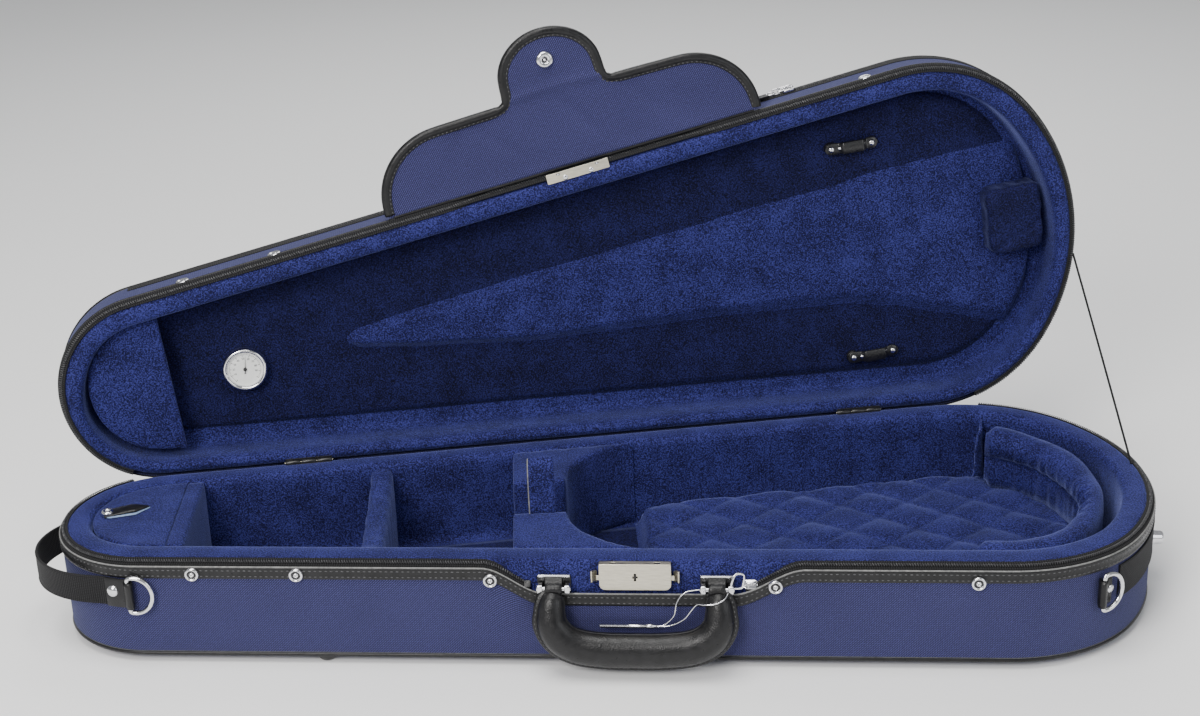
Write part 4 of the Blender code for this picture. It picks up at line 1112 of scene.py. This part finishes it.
def make_bracket(name, side, turn, pin_z):
    """A dark patch with a thin chrome upper edge, two square ears and the pin between them."""
    s = LOCK_S + side * BRACKET_OUT
    patch = plate(rounded(23, 14, 1.6), 1.3, edge=0.35)
    piece(f"bracket_{name}_patch", patch, "leather", "base", [f"handle_bracket_{name}"],
          facing_out(s, -1.4, 58.6))
    lip = plate(rounded(22, 1.5, 0.5), 1.6, edge=0.25)
    piece(f"bracket_{name}_lip", lip, "chrome", "base", matrix=facing_out(s, -0.2, 65.2))
    strap = smooth_line([(0, -0.2, 64.4), (0, -1.6, 62.6), (0, -3.6, 60.8), (0, -5.8, 58.8),
                         (0, -6.6, 56.4)], 5)
    rows = [[(x, p.y, p.z) for x in (-5.9, -5.5, -3, 0, 3, 5.5, 5.9)] for p in strap]
    thicken(piece(f"bracket_{name}_strap", grid(rows), "leather", "base", matrix=front(s, 0, 0)), 1.5, 0)
    for e, letter in ((-1, "a"), (1, "b")):
        ear = plate(rounded(6.4, 6.2, 1.2), 3.6, edge=0.5)
        piece(f"bracket_{name}_ear_{letter}", ear, "chrome", "base",
              matrix=front(s + e * 9.3, 3.2, pin_z) @ turn @ spin(QUARTER, "Z"))
        boss = [(0, 2.6), (1.4, 2.5), (1.9, 2.0), (1.9, 0), (0, 0)]
        turned(f"bracket_{name}_boss_{letter}", boss, "chrome", "base",
               front(s + e * 9.3, PIN_OUT, pin_z) @ spin(e * QUARTER, "Y"), steps=20)
    turned(f"bracket_{name}_pin", rod(1.6, 9.5), "chrome", "base", front(s, PIN_OUT, pin_z) @ turn,
           steps=24)


def make_key():
    """The key: a small ribbed rod that hangs on the handle by a thin wire loop."""
    s = (middle_of("key")[0] - SIDE_START.x) / cos(TAPER)
    profile = [(0, 20)]
    for k in range(16):
        z = 19.6 - k * 1.25
        profile += [(1.55, z), (1.15, z - 0.55)]
    profile += [(1.2, -1), (1.2, -12), (1.6, -12.4), (1.6, -17), (1.1, -17.4), (0.9, -20), (0, -20)]
    place = front(s, 7.5, 31)
    flat = place @ spin(-QUARTER, "Y")
    turned("key_rod", profile, "chrome", "carrying_handle", flat, ["key"], 20)
    loop = [(19.8, -0.6, 0), (25, -0.5, 1.8), (31, 0.5, 8), (33, 2.5, 17), (38, 4.4, 23.2),
            (46, 5.2, 25.0), (54, 5.6, 25.2), (62, 4.6, 25.6), (67, 0.5, 26.0), (66, -5.4, 24.8),
            (60, -9.2, 22.6), (52, -8.4, 21.2), (47, -5, 19.5), (43, -3.2, 14), (38, -2.6, 7),
            (30, -2.2, 2.2), (22, -1.2, 0.3), (19.8, 0.6, 0.2)]
    line = smooth_line(loop, 8)
    wire = piece("key_wire", tube(line, 0.45, 8), "chrome", "carrying_handle", matrix=place)


def make_d_ring(side, name, place):
    """A D-ring with its straight bar in a leather loop, whose ends point to this side."""
    half, corner, reach = D_RING_HALF, 4, 16.5
    bow = [(0, y, 0) for y in (-11, -4, 4, 11)] + [(0.9, 13.0, 0), (corner, half, 0)]
    for a in [pi * i / 10 for i in range(1, 10)]:
        bow.append((corner + (reach - corner) * sin(a), half * cos(a), 0))
    bow += [(corner, -half, 0), (0.9, -13.0, 0)]
    ring = tube(smooth_line(bow, 5, closed=True), 1.65, 14, closed=True)
    piece(f"d_ring_{name}_wire", ring, "chrome", f"d_ring_{name}", [f"d_ring_{name}"],
          place @ at(0, 0, D_RING_Z))
    wrap = [(side * 9.5, 1.2), (side * 6.5, 1.3), (side * 3.6, 1.9), (side * 1.4, 5.5)]
    for a in [radians(60 - 30 * i) for i in range(5)]:
        wrap.append((-side * 0.2 + 2.9 * cos(a) * -side * 0.9, D_RING_Z + 2.9 * sin(a)))
    wrap += [(-side * 1.2, 1.0), (side * 1.0, 0.7)]
    line = smooth_line([(x, 0, z) for x, z in wrap], 4)
    rows = [[(p.x, -10 + 20 * k / 8, p.z) for p in line] for k in range(9)]
    tab = piece(f"d_ring_tab_{name}_leather", grid(rows), "leather", "base", [f"d_ring_tab_{name}"], place)
    thicken(tab, 1.1, 0)


def upright_strip(section, places):
    """A strip with this section of (out, z), through places on a wall given as (x, y, angle)."""
    rows = []
    for out, z in section:
        rows.append([(x + out * cos(a), y + out * sin(a), z) for x, y, a in places])
    return cap_ends(grid(rows, closed_rows=True), len(section), len(places))


def round_place(a, radius, centre=(TIP_X, 0)):
    return centre[0] + radius * cos(a), centre[1] + radius * sin(a), a


def make_straps():
    make_d_ring(-1, "left", facing_out(-5, 0.3, 50))
    corner = {"centre": (CORNER_X, -CORNER_Y), "radius": CORNER_R}
    make_d_ring(1, "right", round_wall(CORNER_LOOP_AT, 0.8, 46, **corner))

    def band(name, places, low, high, thick, replaces):
        section = [(0.2, low), (thick, low), (thick + 0.25, low + 0.8), (thick, low + 1.8),
                   (thick + 0.1, (low + high) / 2),
                   (thick, high - 1.8), (thick + 0.25, high - 0.8), (thick, high), (0.2, high)]
        piece(name, upright_strip(section, places), "webbing", "base", replaces)

    places = []
    for a in [radians(-52 + i * 112 / 80) for i in range(81)]:
        if abs(a) <= JOIN:
            places.append(round_place(a, END_R, (END_X, 0)))
        else:
            places.append(round_place(a, CORNER_R, (CORNER_X, copysign(CORNER_Y, a))))
    band("end_band_webbing", places, 34.5, 59.5, 1.5, ["end_band"])

    first, last = radians(128), radians(252)
    places = []
    for a in [first + i * (last - first) / 90 for i in range(91)]:
        lift = min(max((a - STRAP_OFF[0]) / (STRAP_OFF[1] - STRAP_OFF[0]), 0), 1)
        places.append(round_place(a, TIP_R + 0.4 + 17.0 * (sin(pi * lift**0.85)) ** 1.2))
    band("end_strap_webbing", places, 40, 61, 2.0, ["end_strap"])

    places = [round_place(radians(246.5 + 15 * i / 12), TIP_R + 2.3) for i in range(13)]
    section = [(0, 39.6), (0.9, 39.6), (1.3, 40.6), (1.3, 60.6), (0.9, 61.6), (0, 61.6)]
    piece("strap_patch", upright_strip(section, places), "leather", "base")
    rivet = [(0, 2.6), (1.8, 2.45), (3.4, 1.8), (4.3, 0.8), (4.5, 0), (0, 0)]
    turned("strap_rivet", rivet, "chrome", "base", round_wall(radians(250.5), 3.4, 52))
    turned("corner_rivet", [(r * 0.75, z * 0.75) for r, z in rivet], "chrome", "base",
           round_wall(CORNER_RIVET_AT, 1.9, 46, **corner))


# ---- lid ----
LID_LOW = MID_Z + 0.3


def lid_inset(st):
    """How far in the lid's velvet rim reaches: narrower on the hinged side."""
    return 13.5 + 6.5 * ease(0.5 - 0.9 * sin(st[2]))


def make_lid_canvas():
    def wall(st):
        low = LID_RIM + 2 + LID_DIP * dip(st[3])
        top = LID_TOP
        outside = [(0, low), (0, 92), (0, 101), (0, top - 5), (0.3, top - 2.8), (1.1, top - 1.1),
                   (2.8, top - 0.25), (5, top)]
        inside = [(60, top - 4.4), (2.4, top - 4.4), (2, top - 6), (1.4, low)]
        return inside + outside + [(20, top), (60, top)]

    bm = sweep(wall, closed_section=False)
    fill_middle(bm)
    piece("lid_canvas", bm, "canvas", "lid", ["lid_shell"])
    piece("lid_top_piping", sweep(circle_section(0.9, LID_TOP - 1.9, 1.7)), "leather", "lid")
    rim = circle_section(0.1, LID_RIM + 2.2, 0.8, drop=lambda s: LID_DIP * dip(s))
    piece("lid_rim_piping", sweep(rim), "leather", "lid")

    panel = [(9, 0.1), (9, 1.6), (9.8, 2.4), (11.5, 2.7), (30, 3.3), (60, 3.3)]
    bm = sweep(lambda _: [(inset, LID_TOP + up) for inset, up in panel], closed_section=False)
    fill_middle(bm)
    piece("lid_panel", bm, "canvas", "lid", ["lid_pocket_panel"])
    piece("lid_panel_piping", sweep(circle_section(8.6, LID_TOP + 1.2, 1.5)), "leather", "lid")


def make_lid_rim():
    """The lid's half of the zip, and a flap of tape above the lock that covers the dip."""
    z = lambda up, st: 2 * MID_Z - (BASE_RIM + up - LID_DIP * dip(st[3]))

    def tape_section(st):
        points = [(0.1, -1.5), (-0.3, -0.8), (0.0, 0.4), (0.7, 1.5), (1.7, 2.3), (3.2, 3.8), (4.3, 4.8),
                  (5.1, 4.8), (5.2, 3.0), (1.4, -0.4)]
        return [(i, z(h, st)) for i, h in points]

    zipped = zip_stations()
    piece("lid_zip_tape", sweep(tape_section, zipped, closed=False, caps=True), "webbing", "lid",
          ["lid_zip"])
    piece("lid_zip_coil", coil(zipped, lambda st: (COIL_INSET, z(3.6, st))), "coil", "lid")
    dipped = [st for st in STATIONS if st[3] is not None and dip(st[3]) > 0.6]
    apron = sweep(lambda st: [(2.2, z(3.6, st)), (2.6, MID_Z + 1.6), (3.2, MID_Z + 0.9), (3.6, MID_Z + 1.2),
                              (3.4, z(3.0, st))],
                  dipped, closed=False, caps=True)
    piece("lid_zip_apron", apron, "webbing", "lid")


def make_lid_velvet():
    def rim(st):
        inner = lid_inset(st)
        x, y, _, s = st
        wave = 0.6 * wobble(Vector((x, y, 60)) / 30)
        swell = 0.25 * wobble(Vector((x, y, 0)) / 40)
        room = 0 if s is None else ease((27 - abs(s - LOCK_S)) / 1.5)
        low = LID_LOW
        edge = [(3.2, 100), (3.1, LID_RIM + 5), (3.7, LID_RIM + 1.5), (4.8, low + 2.7 + room),
                (5.4, low + 1.0 + 1.2 * room), (8, low + 0.15 + 0.7 * room)]
        return edge + [
            (inner * 0.6, low + 0.1 + swell * 0.4), (inner - 4, low + 0.3 + swell * 0.4),
            (inner - 2, low + 1.1), (inner - 0.6, low + 3), (inner + 0.3 * wave, low + 6.5),
            (inner + 0.5 * wave, 90), (inner + 0.7 * wave, 100), (inner + 0.9, 106.5),
            (inner + 2.4, 109.2), (inner + 5, LID_INSIDE - 0.1), (inner + 22, LID_INSIDE),
            (inner + 22, LID_INSIDE + 0.3), (3.5, LID_INSIDE + 0.3),
        ]

    piece("lid_velvet", sweep(rim), "velvet", "lid", ["lid_lining"])
    # The lid's back is in the darker velvet: painted shade.
    sheet_across("lid_back_velvet", LINING_LID + 8, LID_INSIDE - 0.5, 0.5, "velvet_painted_shade", "lid")


def make_lid_pad():
    """A long raised wedge under the velvet. It widens towards the wide end, where it runs into the rim."""
    fore = [(-178, -2), (-168, -6), (-118, -13), (-8, -26), (95, -37), (153, -44), (250, -54),
            (310, -58), (372, -60)]
    back = [(-178, 2), (-168, 6), (-118, 15), (-29, 28), (95, 36), (208, 46), (252, 56), (288, 69),
            (330, 84), (372, 90)]

    def level(table, x):
        for (xa, ya), (xb, yb) in zip(table, table[1:]):
            if x <= xb:
                share = (x - xa) / (xb - xa)
                return ya + (yb - ya) * (0.3 * ease(share) + 0.7 * share)
        return table[-1][1]

    rows = []
    for i in range(221):
        x = -182 + 556 * i / 220
        half = half_at(x, LINING_LID + 1)
        near, far = max(level(fore, x) - 4, -half), min(level(back, x) + 4, half)
        fade = ease((x + 182) / 10)
        row = []
        for k in range(49):
            y = near + (far - near) * k / 48
            wide = 9 + 6 * ease((x + 120) / 300)
            slope = ease((y - near) / wide) * ease((far - y) / wide)
            dent = 0.45 * wobble(Vector((x, y, 8)) / 26)
            spared = 1 - 0.6 * exp(-((x - 213) ** 2 + (y + 50) ** 2) / 500)
            row.append((x, y, LID_INSIDE + 0.2 - fade * slope * spared * (6.4 + dent)))
        rows.append(row)
    wedge = piece("lid_pad_velvet", grid(rows), "velvet", "lid", ["lid_pad"], smooth=180)
    thicken(wedge, 0.25, 1.0)
    apply_modifiers(wedge)


def make_lid_fittings():
    """The lid's rivets, the bow-tip pocket, the pressure block and the strike plate with its hooks."""
    ring = [(0, 0.9), (1.5, 0.85), (1.9, 0.5), (2.6, 0.4), (3.0, 0.9), (3.7, 1.2), (4.4, 1.1), (5, 0.5),
            (5.1, -0.2), (0, -0.2)]
    for number, s in enumerate((43, 113.3, 482, 575), 1):
        turned(f"lid_rivet_{number}", ring, "chrome", "lid", facing_out(s, -0.3, 86.4))
    soft_piece("bow_tip_pocket", 1.1, 3, 0.3, 25)
    x, half = -314.6, half_at(-315, LINING_LID + 1.5)
    lip = tube([(x, -half + 2 * half * k / 24, 88.4 + 0.5 * sin(pi * k / 24)) for k in range(25)], 1.9, 12)
    piece("bow_tip_pocket_lip", lip, "velvet", "lid")
    make_pressure_block()

    base = front(LOCK_S, STRIKE_OUT, MID_Z + 0.9)
    piece("strike_face", plate(rounded(48, 7.4, 0.7), 1.2, edge=0.25), "nickel", "lid", ["strike_plate"],
          base)
    post = smooth_line([(-1, -2.7, 0.4), (-1, -2.7, -2.6), (0, -2.7, -3.7), (1, -2.7, -2.8)], 5)
    screw = [(0, 0.6), (1.4, 0.5), (1.9, 0.2), (2.0, 0), (0, 0)]
    under = spin(pi, "X")
    for side, name in SIDES:
        piece(f"strike_hook_{name}", tube(post, 0.6, 10), "chrome", "lid",
              matrix=base @ at(SLOT_SPREAD * side, 0, 0))
        turned(f"strike_screw_{name}", screw, "chrome", "lid", base @ at(10.0 * side, 1.6, -0.5) @ under)
        ear = plate([(-1.6, -3.6), (1.6, -3.6), (1.6, -6.0), (-1.6, -6.0)], 1.0, edge=0.2)
        piece(f"strike_ear_{name}", ear, "nickel", "lid", matrix=base @ at(STRIKE_SPREAD * side, 2.0, 0))


def make_pressure_block():
    """A small padded block at the wide end, with gathered sides."""
    centre = Vector((350, -2.5, LID_INSIDE - 12))
    size = Vector((22.5, 26.5, 12.4))
    bm = bmesh.new()
    bmesh.ops.create_cube(bm, size=2)
    bmesh.ops.subdivide_edges(bm, edges=bm.edges, cuts=27, use_grid_fill=True)
    for v in bm.verts:
        unit = v.co.copy()
        power = (abs(unit.x) ** 9 + abs(unit.y) ** 9 + abs(unit.z) ** 9) ** (1 / 9)
        p = Vector(unit[i] / power * size[i] for i in range(3))
        out = Vector((unit.x / size.x, unit.y / size.y, unit.z / size.z)).normalized()
        side = ease(max(abs(unit.x), abs(unit.y)) * 1.4 - 0.4)
        fold = wobble(Vector((p.x / 5, p.y / 5, p.z / 22 + 4))) * 1.5 * side
        fold += wobble(p / 13) * 0.9
        crease = exp(-((unit.y + unit.x * 0.4 - 0.55) / 0.1) ** 2) * 0.9 if unit.z < 0 else 0
        v.co = centre + p + out * (fold - crease - 0.8)
        v.co.z = min(v.co.z, LID_INSIDE - 0.2)
    # The block is in the darker velvet: painted shade under and round it.
    block = piece("pressure_block_velvet", bm, "velvet_painted_shade", "lid", ["pressure_block"], smooth=180)


def make_hygrometer():
    face = at(-259, 5.6, LID_INSIDE) @ spin(pi, "X")
    bezel = [(13.2, 6.8), (13.4, 8.2), (14.2, 9.7), (15.3, 10.0), (16.3, 9.4), (16.9, 8.0), (17.0, 6.6),
             (16.6, 6.2), (17.0, 5.8), (17.0, 0.3), (13.2, 0.3), (13.2, 6.8)]
    turned("hygrometer_bezel", bezel, "chrome", "lid", face, ["hygrometer_case"], 72)
    turned("hygrometer_dial", [(0, 7.3), (13.4, 7.3), (13.4, 6.4), (0, 6.4)], "dial", "lid", face, steps=48)
    ticks = bmesh.new()
    for k in range(51):
        a = radians(DIAL_FROM - DIAL_SWEEP * k / 50)
        far, near, half = (12.3, 10.3, 0.16) if k % 5 == 0 else (12.3, 11.3, 0.09)
        along, across = heading(a), Vector((-sin(a), cos(a), 0))
        corners = [along * r + across * (half * w) for r, w in ((near, -1), (near, 1), (far, 1), (far, -1))]
        low = [ticks.verts.new(c + Vector((0, 0, 7.28))) for c in corners]
        high = [ticks.verts.new(c + Vector((0, 0, 7.42))) for c in corners]
        ticks.faces.new(high)
        ticks.faces.new(low[::-1])
        for i in range(4):
            ticks.faces.new((low[i], low[(i + 1) % 4], high[(i + 1) % 4], high[i]))
    piece("hygrometer_ticks", ticks, "ink", "lid", matrix=face)
    for k in range(1, 10):
        a = radians(DIAL_FROM - DIAL_SWEEP * k / 10)
        curve = bpy.data.curves.new("number", "FONT")
        curve.body, curve.size, curve.extrude = str(10 * k), 2.1, 0.05
        curve.align_x, curve.align_y = "CENTER", "CENTER"
        mesh = used_up(bpy.data.objects.new("number", curve))
        piece(f"hygrometer_number_{k}", mesh, "ink", "lid",
              matrix=face @ at(8.5 * cos(a), 8.5 * sin(a), 7.35))
    needle = plate([(-3.4, -0.55), (-2.4, -0.3), (10.3, -0.08), (10.3, 0.08), (-2.4, 0.3), (-3.4, 0.55)],
                   0.24, edge=0.05)
    turn = spin(radians(78), "Z")
    piece("needle_pointer", needle, "ink", "hygrometer_needle", ["hygrometer_needle"],
          face @ at(0, 0, 8.3) @ turn)
    turned("needle_hub", [(0, 8.9), (1.0, 8.8), (1.4, 8.4), (1.4, 7.5), (0, 7.5)], "ink",
           "hygrometer_needle", face, steps=24)


def make_spinners():
    """Two bow spinners: a waisted bar that turns on a seat, with a rivet at each end."""
    arm = 32.2  # from the pivot to the far rivet
    for name, x, y in (("front", 213.5, -80.0), ("rear", 213.5, 93.0)):
        body = f"bow_spinner_{name}"
        face = at(x, y, LID_INSIDE - 4.3) @ spin(pi, "X")
        seat = [(0, -0.3), (4.4, -0.3), (4.7, -0.8), (4.7, -3.9), (0, -3.9)]
        turned(f"{body}_seat", seat, "plastic", "lid", face, [f"bow_spinner_post_{name}"])
        rows = []
        for k in range(65):
            t = -4.8 + 41.6 * k / 64
            past = t / 4.85 if t < 0 else max(t - arm, 0) / 4.65
            half = 4.6 * sqrt(max(1 - past**2, 0.02))
            half -= 0.55 * (exp(-(((t - 6.5) / 2.2) ** 2)) + exp(-(((t - 27.5) / 2.2) ** 2)))
            arch = ease((t - 5.5) / 4) * ease((28.5 - t) / 4)
            low, high = 2.6 * arch, 2.0 + 3.4 * arch
            e = min(0.5, half * 0.4)
            rows.append([(t, w, z) for w, z in (
                (-half + e, low), (-half, low + e), (-half, high - e), (-half + e, high),
                (0, high + 0.12 * arch), (half - e, high), (half, high - e), (half, low + e),
                (half - e, low))])
        piece(f"{body}_arm", grid(rows, closed_columns=True, caps=True), "plastic", body, [body], face, 50)
        rivet = [(0, 1.25), (1.1, 1.15), (2.0, 0.7), (2.4, 0.05), (2.4, -0.5), (0, -0.5)]
        for end, t in (("pivot", 0), ("far", arm)):
            turned(f"{body}_rivet_{end}", rivet, "chrome", body, face @ at(t, 0, 2.0), steps=28)
        turned(f"{body}_stud", [(r * 0.7, z * 0.9) for r, z in rivet], "chrome", body,
               face @ at(6.6, 0, 2.35), steps=24)


def flap_outline():
    """Points (s, d) from the flap's left end over the tongue to its right end."""
    half = [(-FLAP_HALF, FLAP_D + 0.5), (-FLAP_HALF - 0.2, 6.0)]
    for a in [QUARTER * k / 9 for k in range(1, 10)]:
        half.append((-FLAP_HALF + 52 * (1 - cos(a)), FLAP_DEPTH * (0.12 + 0.86 * sin(a))))
    half += [(-78, 56.2), (-62, 56.6), (-48, 56.9), (-41.5, 57.8), (-38.6, 60.6), (-37.4, 65)]
    for a in [QUARTER * k / 6 for k in range(6)]:
        half.append((-TONGUE_HALF * cos(a), TONGUE_ROUND + (TONGUE_END - TONGUE_ROUND) * sin(a)))
    points = half + [(0, TONGUE_END)] + [(-s, d) for s, d in reversed(half)]
    line = smooth_line([(s, d, 0) for s, d in points], 10)
    even, run = [line[0]], 0.0
    for a, b in zip(line, line[1:]):
        run += (b - a).length
        if run >= 1.5:
            even.append(b)
            run = 0.0
    return even + [line[-1]]


def flap_lift(s, d):
    """Soft wrinkles of the flap's canvas, and the crease where the tongue folds."""
    crease = -1.5 * exp(-((d - 60.5 - 2.2 * cos(s / 24)) / 2.4) ** 2) * ease((46 - abs(s)) / 14)
    folds = 0.0
    for foot, lean, width, height in ((32, 0.55, 5.5, 1.7), (-95, -0.4, 7, 1.1), (-20, 0.9, 5, 1.1),
                                      (88, 0.7, 6, 1.0)):
        ridge = height * exp(-((s + lean * d - foot) / width) ** 2)
        folds += ridge * ease((d - 12) / 18) * ease((58 - d) / 12)
    return crease + folds + 0.9 * wobble(Vector((s / 55, d / 40, 2))) + 0.4


def make_flap():
    """The open flap with its tongue: two faces of canvas in a leather binding, and the snap."""
    place = front(LOCK_S, 0, FLAP_Z)
    outline = flap_outline()
    rows = []
    for p in outline:
        start = Vector((max(min(p.x, FLAP_HALF - 1), -FLAP_HALF + 1), FLAP_D - 0.6, 0))
        row = []
        for s, d, _ in [start.lerp(p, k / 44) for k in range(45)]:
            clear = min(min(hypot(s - o.x, d - o.y) for o in outline), d - FLAP_D)
            row.append((s, d, flap_lift(s, d) * ease(clear / 8)))
        rows.append(row)
    for name, side, replaced in (("under", -1, ["flap_panel", "flap_tongue"]), ("over", 1, ())):
        surface = [[(s, -d, 1.25 * side + lift) for s, d, lift in row] for row in rows]
        bm = grid(surface, uv=lambda co: (co.x * MM, co.y * MM))
        bmesh.ops.remove_doubles(bm, verts=bm.verts, dist=0.02)
        sheet = piece(f"flap_canvas_{name}", bm, "canvas", None, replaced, place, 180)
        thicken(sheet, 0.7, 1.0 if side < 0 else -1.0)
        apply_modifiers(sheet)
        blend_flap(sheet)
    above = [(5.4, 1.5), (5.3, 2.0), (4.9, 2.25), (3.4, 2.3), (2.9, 2.7), (1.4, 3.1), (-0.4, 2.9),
             (-1.8, 1.8)]
    section = above + [(-2.3, 0)] + [(inset, -h) for inset, h in reversed(above)]
    rows, stitch_line = [], []
    for i, p in enumerate(outline):
        ahead = (outline[min(i + 2, len(outline) - 1)] - outline[max(i - 2, 0)]).normalized()
        inward = Vector((ahead.y, -ahead.x, 0))
        notch = exp(-((abs(p.x) - 41) / 5) ** 2) * ease((66 - p.y) / 4)
        row = []
        for inset, h in section:
            pucker = 0.35 * notch * sin(i * 1.9 + inset)
            q = p + inward * (inset * (1 - 0.25 * notch) + pucker)
            row.append((q.x, -q.y, h * (1 + 0.04 * wobble(Vector((i / 7, inset, 0)))) + pucker))
        rows.append(row)
        q = p + inward * 4.2
        stitch_line.append((Vector((q.x, -q.y, -2.3)), Vector((0, 0, -1))))
    binding = piece("flap_binding", grid(rows, closed_columns=True, caps=True), "leather", None,
                    matrix=place, smooth=180)
    blend_flap(binding)
    row = stitches("flap_stitches", stitch_line, "thread", None, 2.0, 1.4, 0.34, matrix=place)
    blend_flap(row)
    cover = tube([(-FLAP_HALF + 4, -1.3, 0), (FLAP_HALF - 4, -1.3, 0)], 1.8, 14)
    piece("flap_hinge_piping", cover, "leather", "lid", matrix=place)
    snap = [(0, 0.2), (1.6, 0.2), (2.0, 0.8), (2.3, 2.1), (3.0, 2.5), (4.4, 2.6), (5.6, 2.2),
            (6.3, 1.2), (6.4, 0), (0, -0.3)]
    socket = front(SNAP_S, SNAP_OUT, FLAP_Z - 1.9) @ spin(pi, "X")
    turned("flap_snap_socket", snap, "chrome", "flap_tongue", socket, ["flap_snap"])
    turned("flap_snap_stud", [(0, 1.9), (0.7, 1.8), (1.1, 1.2), (1.2, 0.2), (0, 0.2)], "chrome",
           "flap_tongue", socket)
    recess = [(0, 0.7), (2.1, 0.75), (2.6, 0.4), (0, 0.3)]
    turned("flap_snap_recess", recess, "plastic", "flap_tongue", socket)
    cap = [(0, 2.0), (3, 1.8), (5.4, 1.1), (6.4, 0.2), (6.4, -0.2), (0, -0.2)]
    turned("flap_snap_cap", cap, "chrome", "flap_tongue", front(SNAP_S, SNAP_OUT, FLAP_Z + 1.9))


def blend_flap(obj):
    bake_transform(obj)


def make_slider(name, body, place, thickness, lift, foot, top, replaces=()):
    """A zip slider: a wedge with a bridge over it that holds the pull."""
    wedge = [(-5, -2.4), (-3.2, -3.4), (3.2, -3.4), (5, -2.2), (5, 2.2), (3.2, 3.4), (-3.2, 3.4), (-5, 2.4)]
    wedge = plate(wedge, thickness, edge=0.6)
    piece(f"{name}_body", wedge, "chrome", body, replaces, place @ at(0, 0, lift))
    bridge = smooth_line([(3.6, 0, foot), (2.6, 0, top), (-1.6, 0, top + 0.1), (-3.6, 0, foot)], 6)
    piece(f"{name}_bridge", tube(bridge, 0.75, 10), "chrome", body, matrix=place)


def make_pocket_zip():
    """The zip of the outer pocket, along the lid's front wall: tape, coil, slider, chain and tab."""
    stretch = [st for st in STATIONS if st[1] < 0 and -QUARTER - TAPER <= st[2] < -0.35]
    z = POCKET_ZIP_Z
    tape = sweep(lambda st: [(0.1, z - 4.5), (-0.5, z - 4.3), (-0.8, z - 2.2), (-0.5, z),
                             (-0.8, z + 2.2), (-0.5, z + 4.3), (0.1, z + 4.5)],
                 stretch, closed=False, caps=True)
    piece("pocket_zip_tape", tape, "webbing", "lid")
    run = [st for st in stretch if st[3] is not None and 133 < st[3] < 567]
    piece("pocket_zip_coil", coil(run, lambda st: (-0.7, z), radius=0.9, pitch=1.6, wire=0.36), "coil",
          "lid")
    place = facing_out(520, 0.9, z)
    make_slider("pocket_slider", "pocket_slider", place, 2.4, 1.3, 2.2, 4.2, ["pocket_slider"])

    def chain_link(name, x, length, width, lift, tilt):
        loop = rounded(length, width, width / 2 - 0.05, 6)
        turn = place @ at(x, 0, lift) @ spin(tilt, "X")
        piece(name, tube([(u, v, 0) for u, v in loop], 0.62, 8, closed=True), "chrome", "pocket_slider",
              matrix=turn)

    chain_link("pocket_chain_1", -4.6, 7.5, 4.6, 3.2, 0.35)
    chain_link("pocket_chain_2", -9.6, 6.0, 4.0, 2.6, 1.2)
    chain_link("pocket_chain_3", -13.8, 6.4, 4.4, 2.2, 0.2)
    tab = plate(rounded(9.5, 7.6, 1.2), 1.5, edge=0.4)
    piece("pocket_tab", tab, "leather", "pocket_slider", matrix=place @ at(-20.6, -1.0, 1.9))


def make_stay():
    """The thin cord that stops the lid, from seam to seam."""
    start = Vector((388.0, 8.0, MID_Z + 0.1))
    end = OPEN @ Vector((390.6, 31.0, MID_Z + 1.5))
    sag = Vector((0, -0.8, 0))
    points = [start.lerp(end, k / 40) + sag * sin(pi * k / 40) for k in range(41)]
    cord = piece("stay_cord", tube(points, 0.85, 10), "webbing", False, ["lid_stay"])
    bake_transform(cord)


def make_hinges():
    """Two hinges whose leaves lie under the velvet, so that only their knuckles show."""
    knuckle = [(0, 5.8), (1.5, 5.8), (1.75, 5.5), (1.75, -5.5), (1.5, -5.8), (0, -5.8)]
    for number, s in enumerate((106.0, 539.0), 1):
        origin = SIDE_START + REAR_DIR * s + Vector((sin(TAPER), -cos(TAPER), 0)) * (RIM_SLOPE - 0.3)
        place = at(*origin.xy, MID_Z) @ spin(TAPER, "Z")
        along = place @ spin(QUARTER, "Y")
        for part, sign, centres in (("base", -1, (-12, 12)), ("lid", 1, (0,))):
            leaf = plate(rounded(35, 2.6, 0.6), 0.7, edge=0.2)
            piece(f"hinge_{number}_{part}_leaf", leaf, "plastic", part, [f"hinge_{number}_{part}"],
                  place @ at(0, -1.8, sign * 0.75))
            for k in centres:
                turned(f"hinge_{number}_{part}_knuckle_{k + 12}", knuckle, "plastic", part,
                       along @ at(0, 0, k), steps=24)
        turned(f"hinge_{number}_pin", rod(0.8, 18.2), "nickel", "base", along, steps=16)


def make_base_zip_ends():
    """A stop at the left end of the base's zip, a slider with a pull loop at the right end."""
    right = front(LOCK_S + 78, -2.6, BASE_RIM + 3.6 - dip(LOCK_S + 78))
    turn = right @ spin(QUARTER / 2, "X")
    make_slider("zip_slider", "base", turn, 2.6, 0.6, 1.8, 3.4)
    loop = smooth_line([(-3.4, 4.8, 0), (3.4, 4.8, 0), (4.6, -3.6, 0), (3.2, -5.0, 0), (-3.2, -5.0, 0),
                        (-4.6, -3.6, 0)], 5, closed=True)
    stand = facing_out(LOCK_S + 69.5, 1.6, 62.5) @ spin(0.5, "Y") @ spin(-0.25, "Z")
    piece("zip_pull_loop", tube(loop, 0.85, 10, closed=True), "chrome", "base", matrix=stand)
    left = front(LOCK_S - 74, -1.6, BASE_RIM + 3.0 - dip(LOCK_S - 74))
    piece("zip_stop", plate(rounded(5, 5, 1.0), 2.2, edge=0.5), "plastic", "base",
          matrix=left @ spin(QUARTER / 2, "X"))


looks = make_materials()
make_stage()
make_base_canvas()
make_base_trim()
make_base_velvet()
make_interior()
make_studs()
make_feet()
make_lock()
make_handle()
make_key()
make_straps()
make_base_zip_ends()
make_hinges()
make_lid_canvas()
make_lid_rim()
make_lid_velvet()
make_lid_pad()
make_lid_fittings()
make_hygrometer()
make_spinners()
make_flap()
make_pocket_zip()
make_stay()
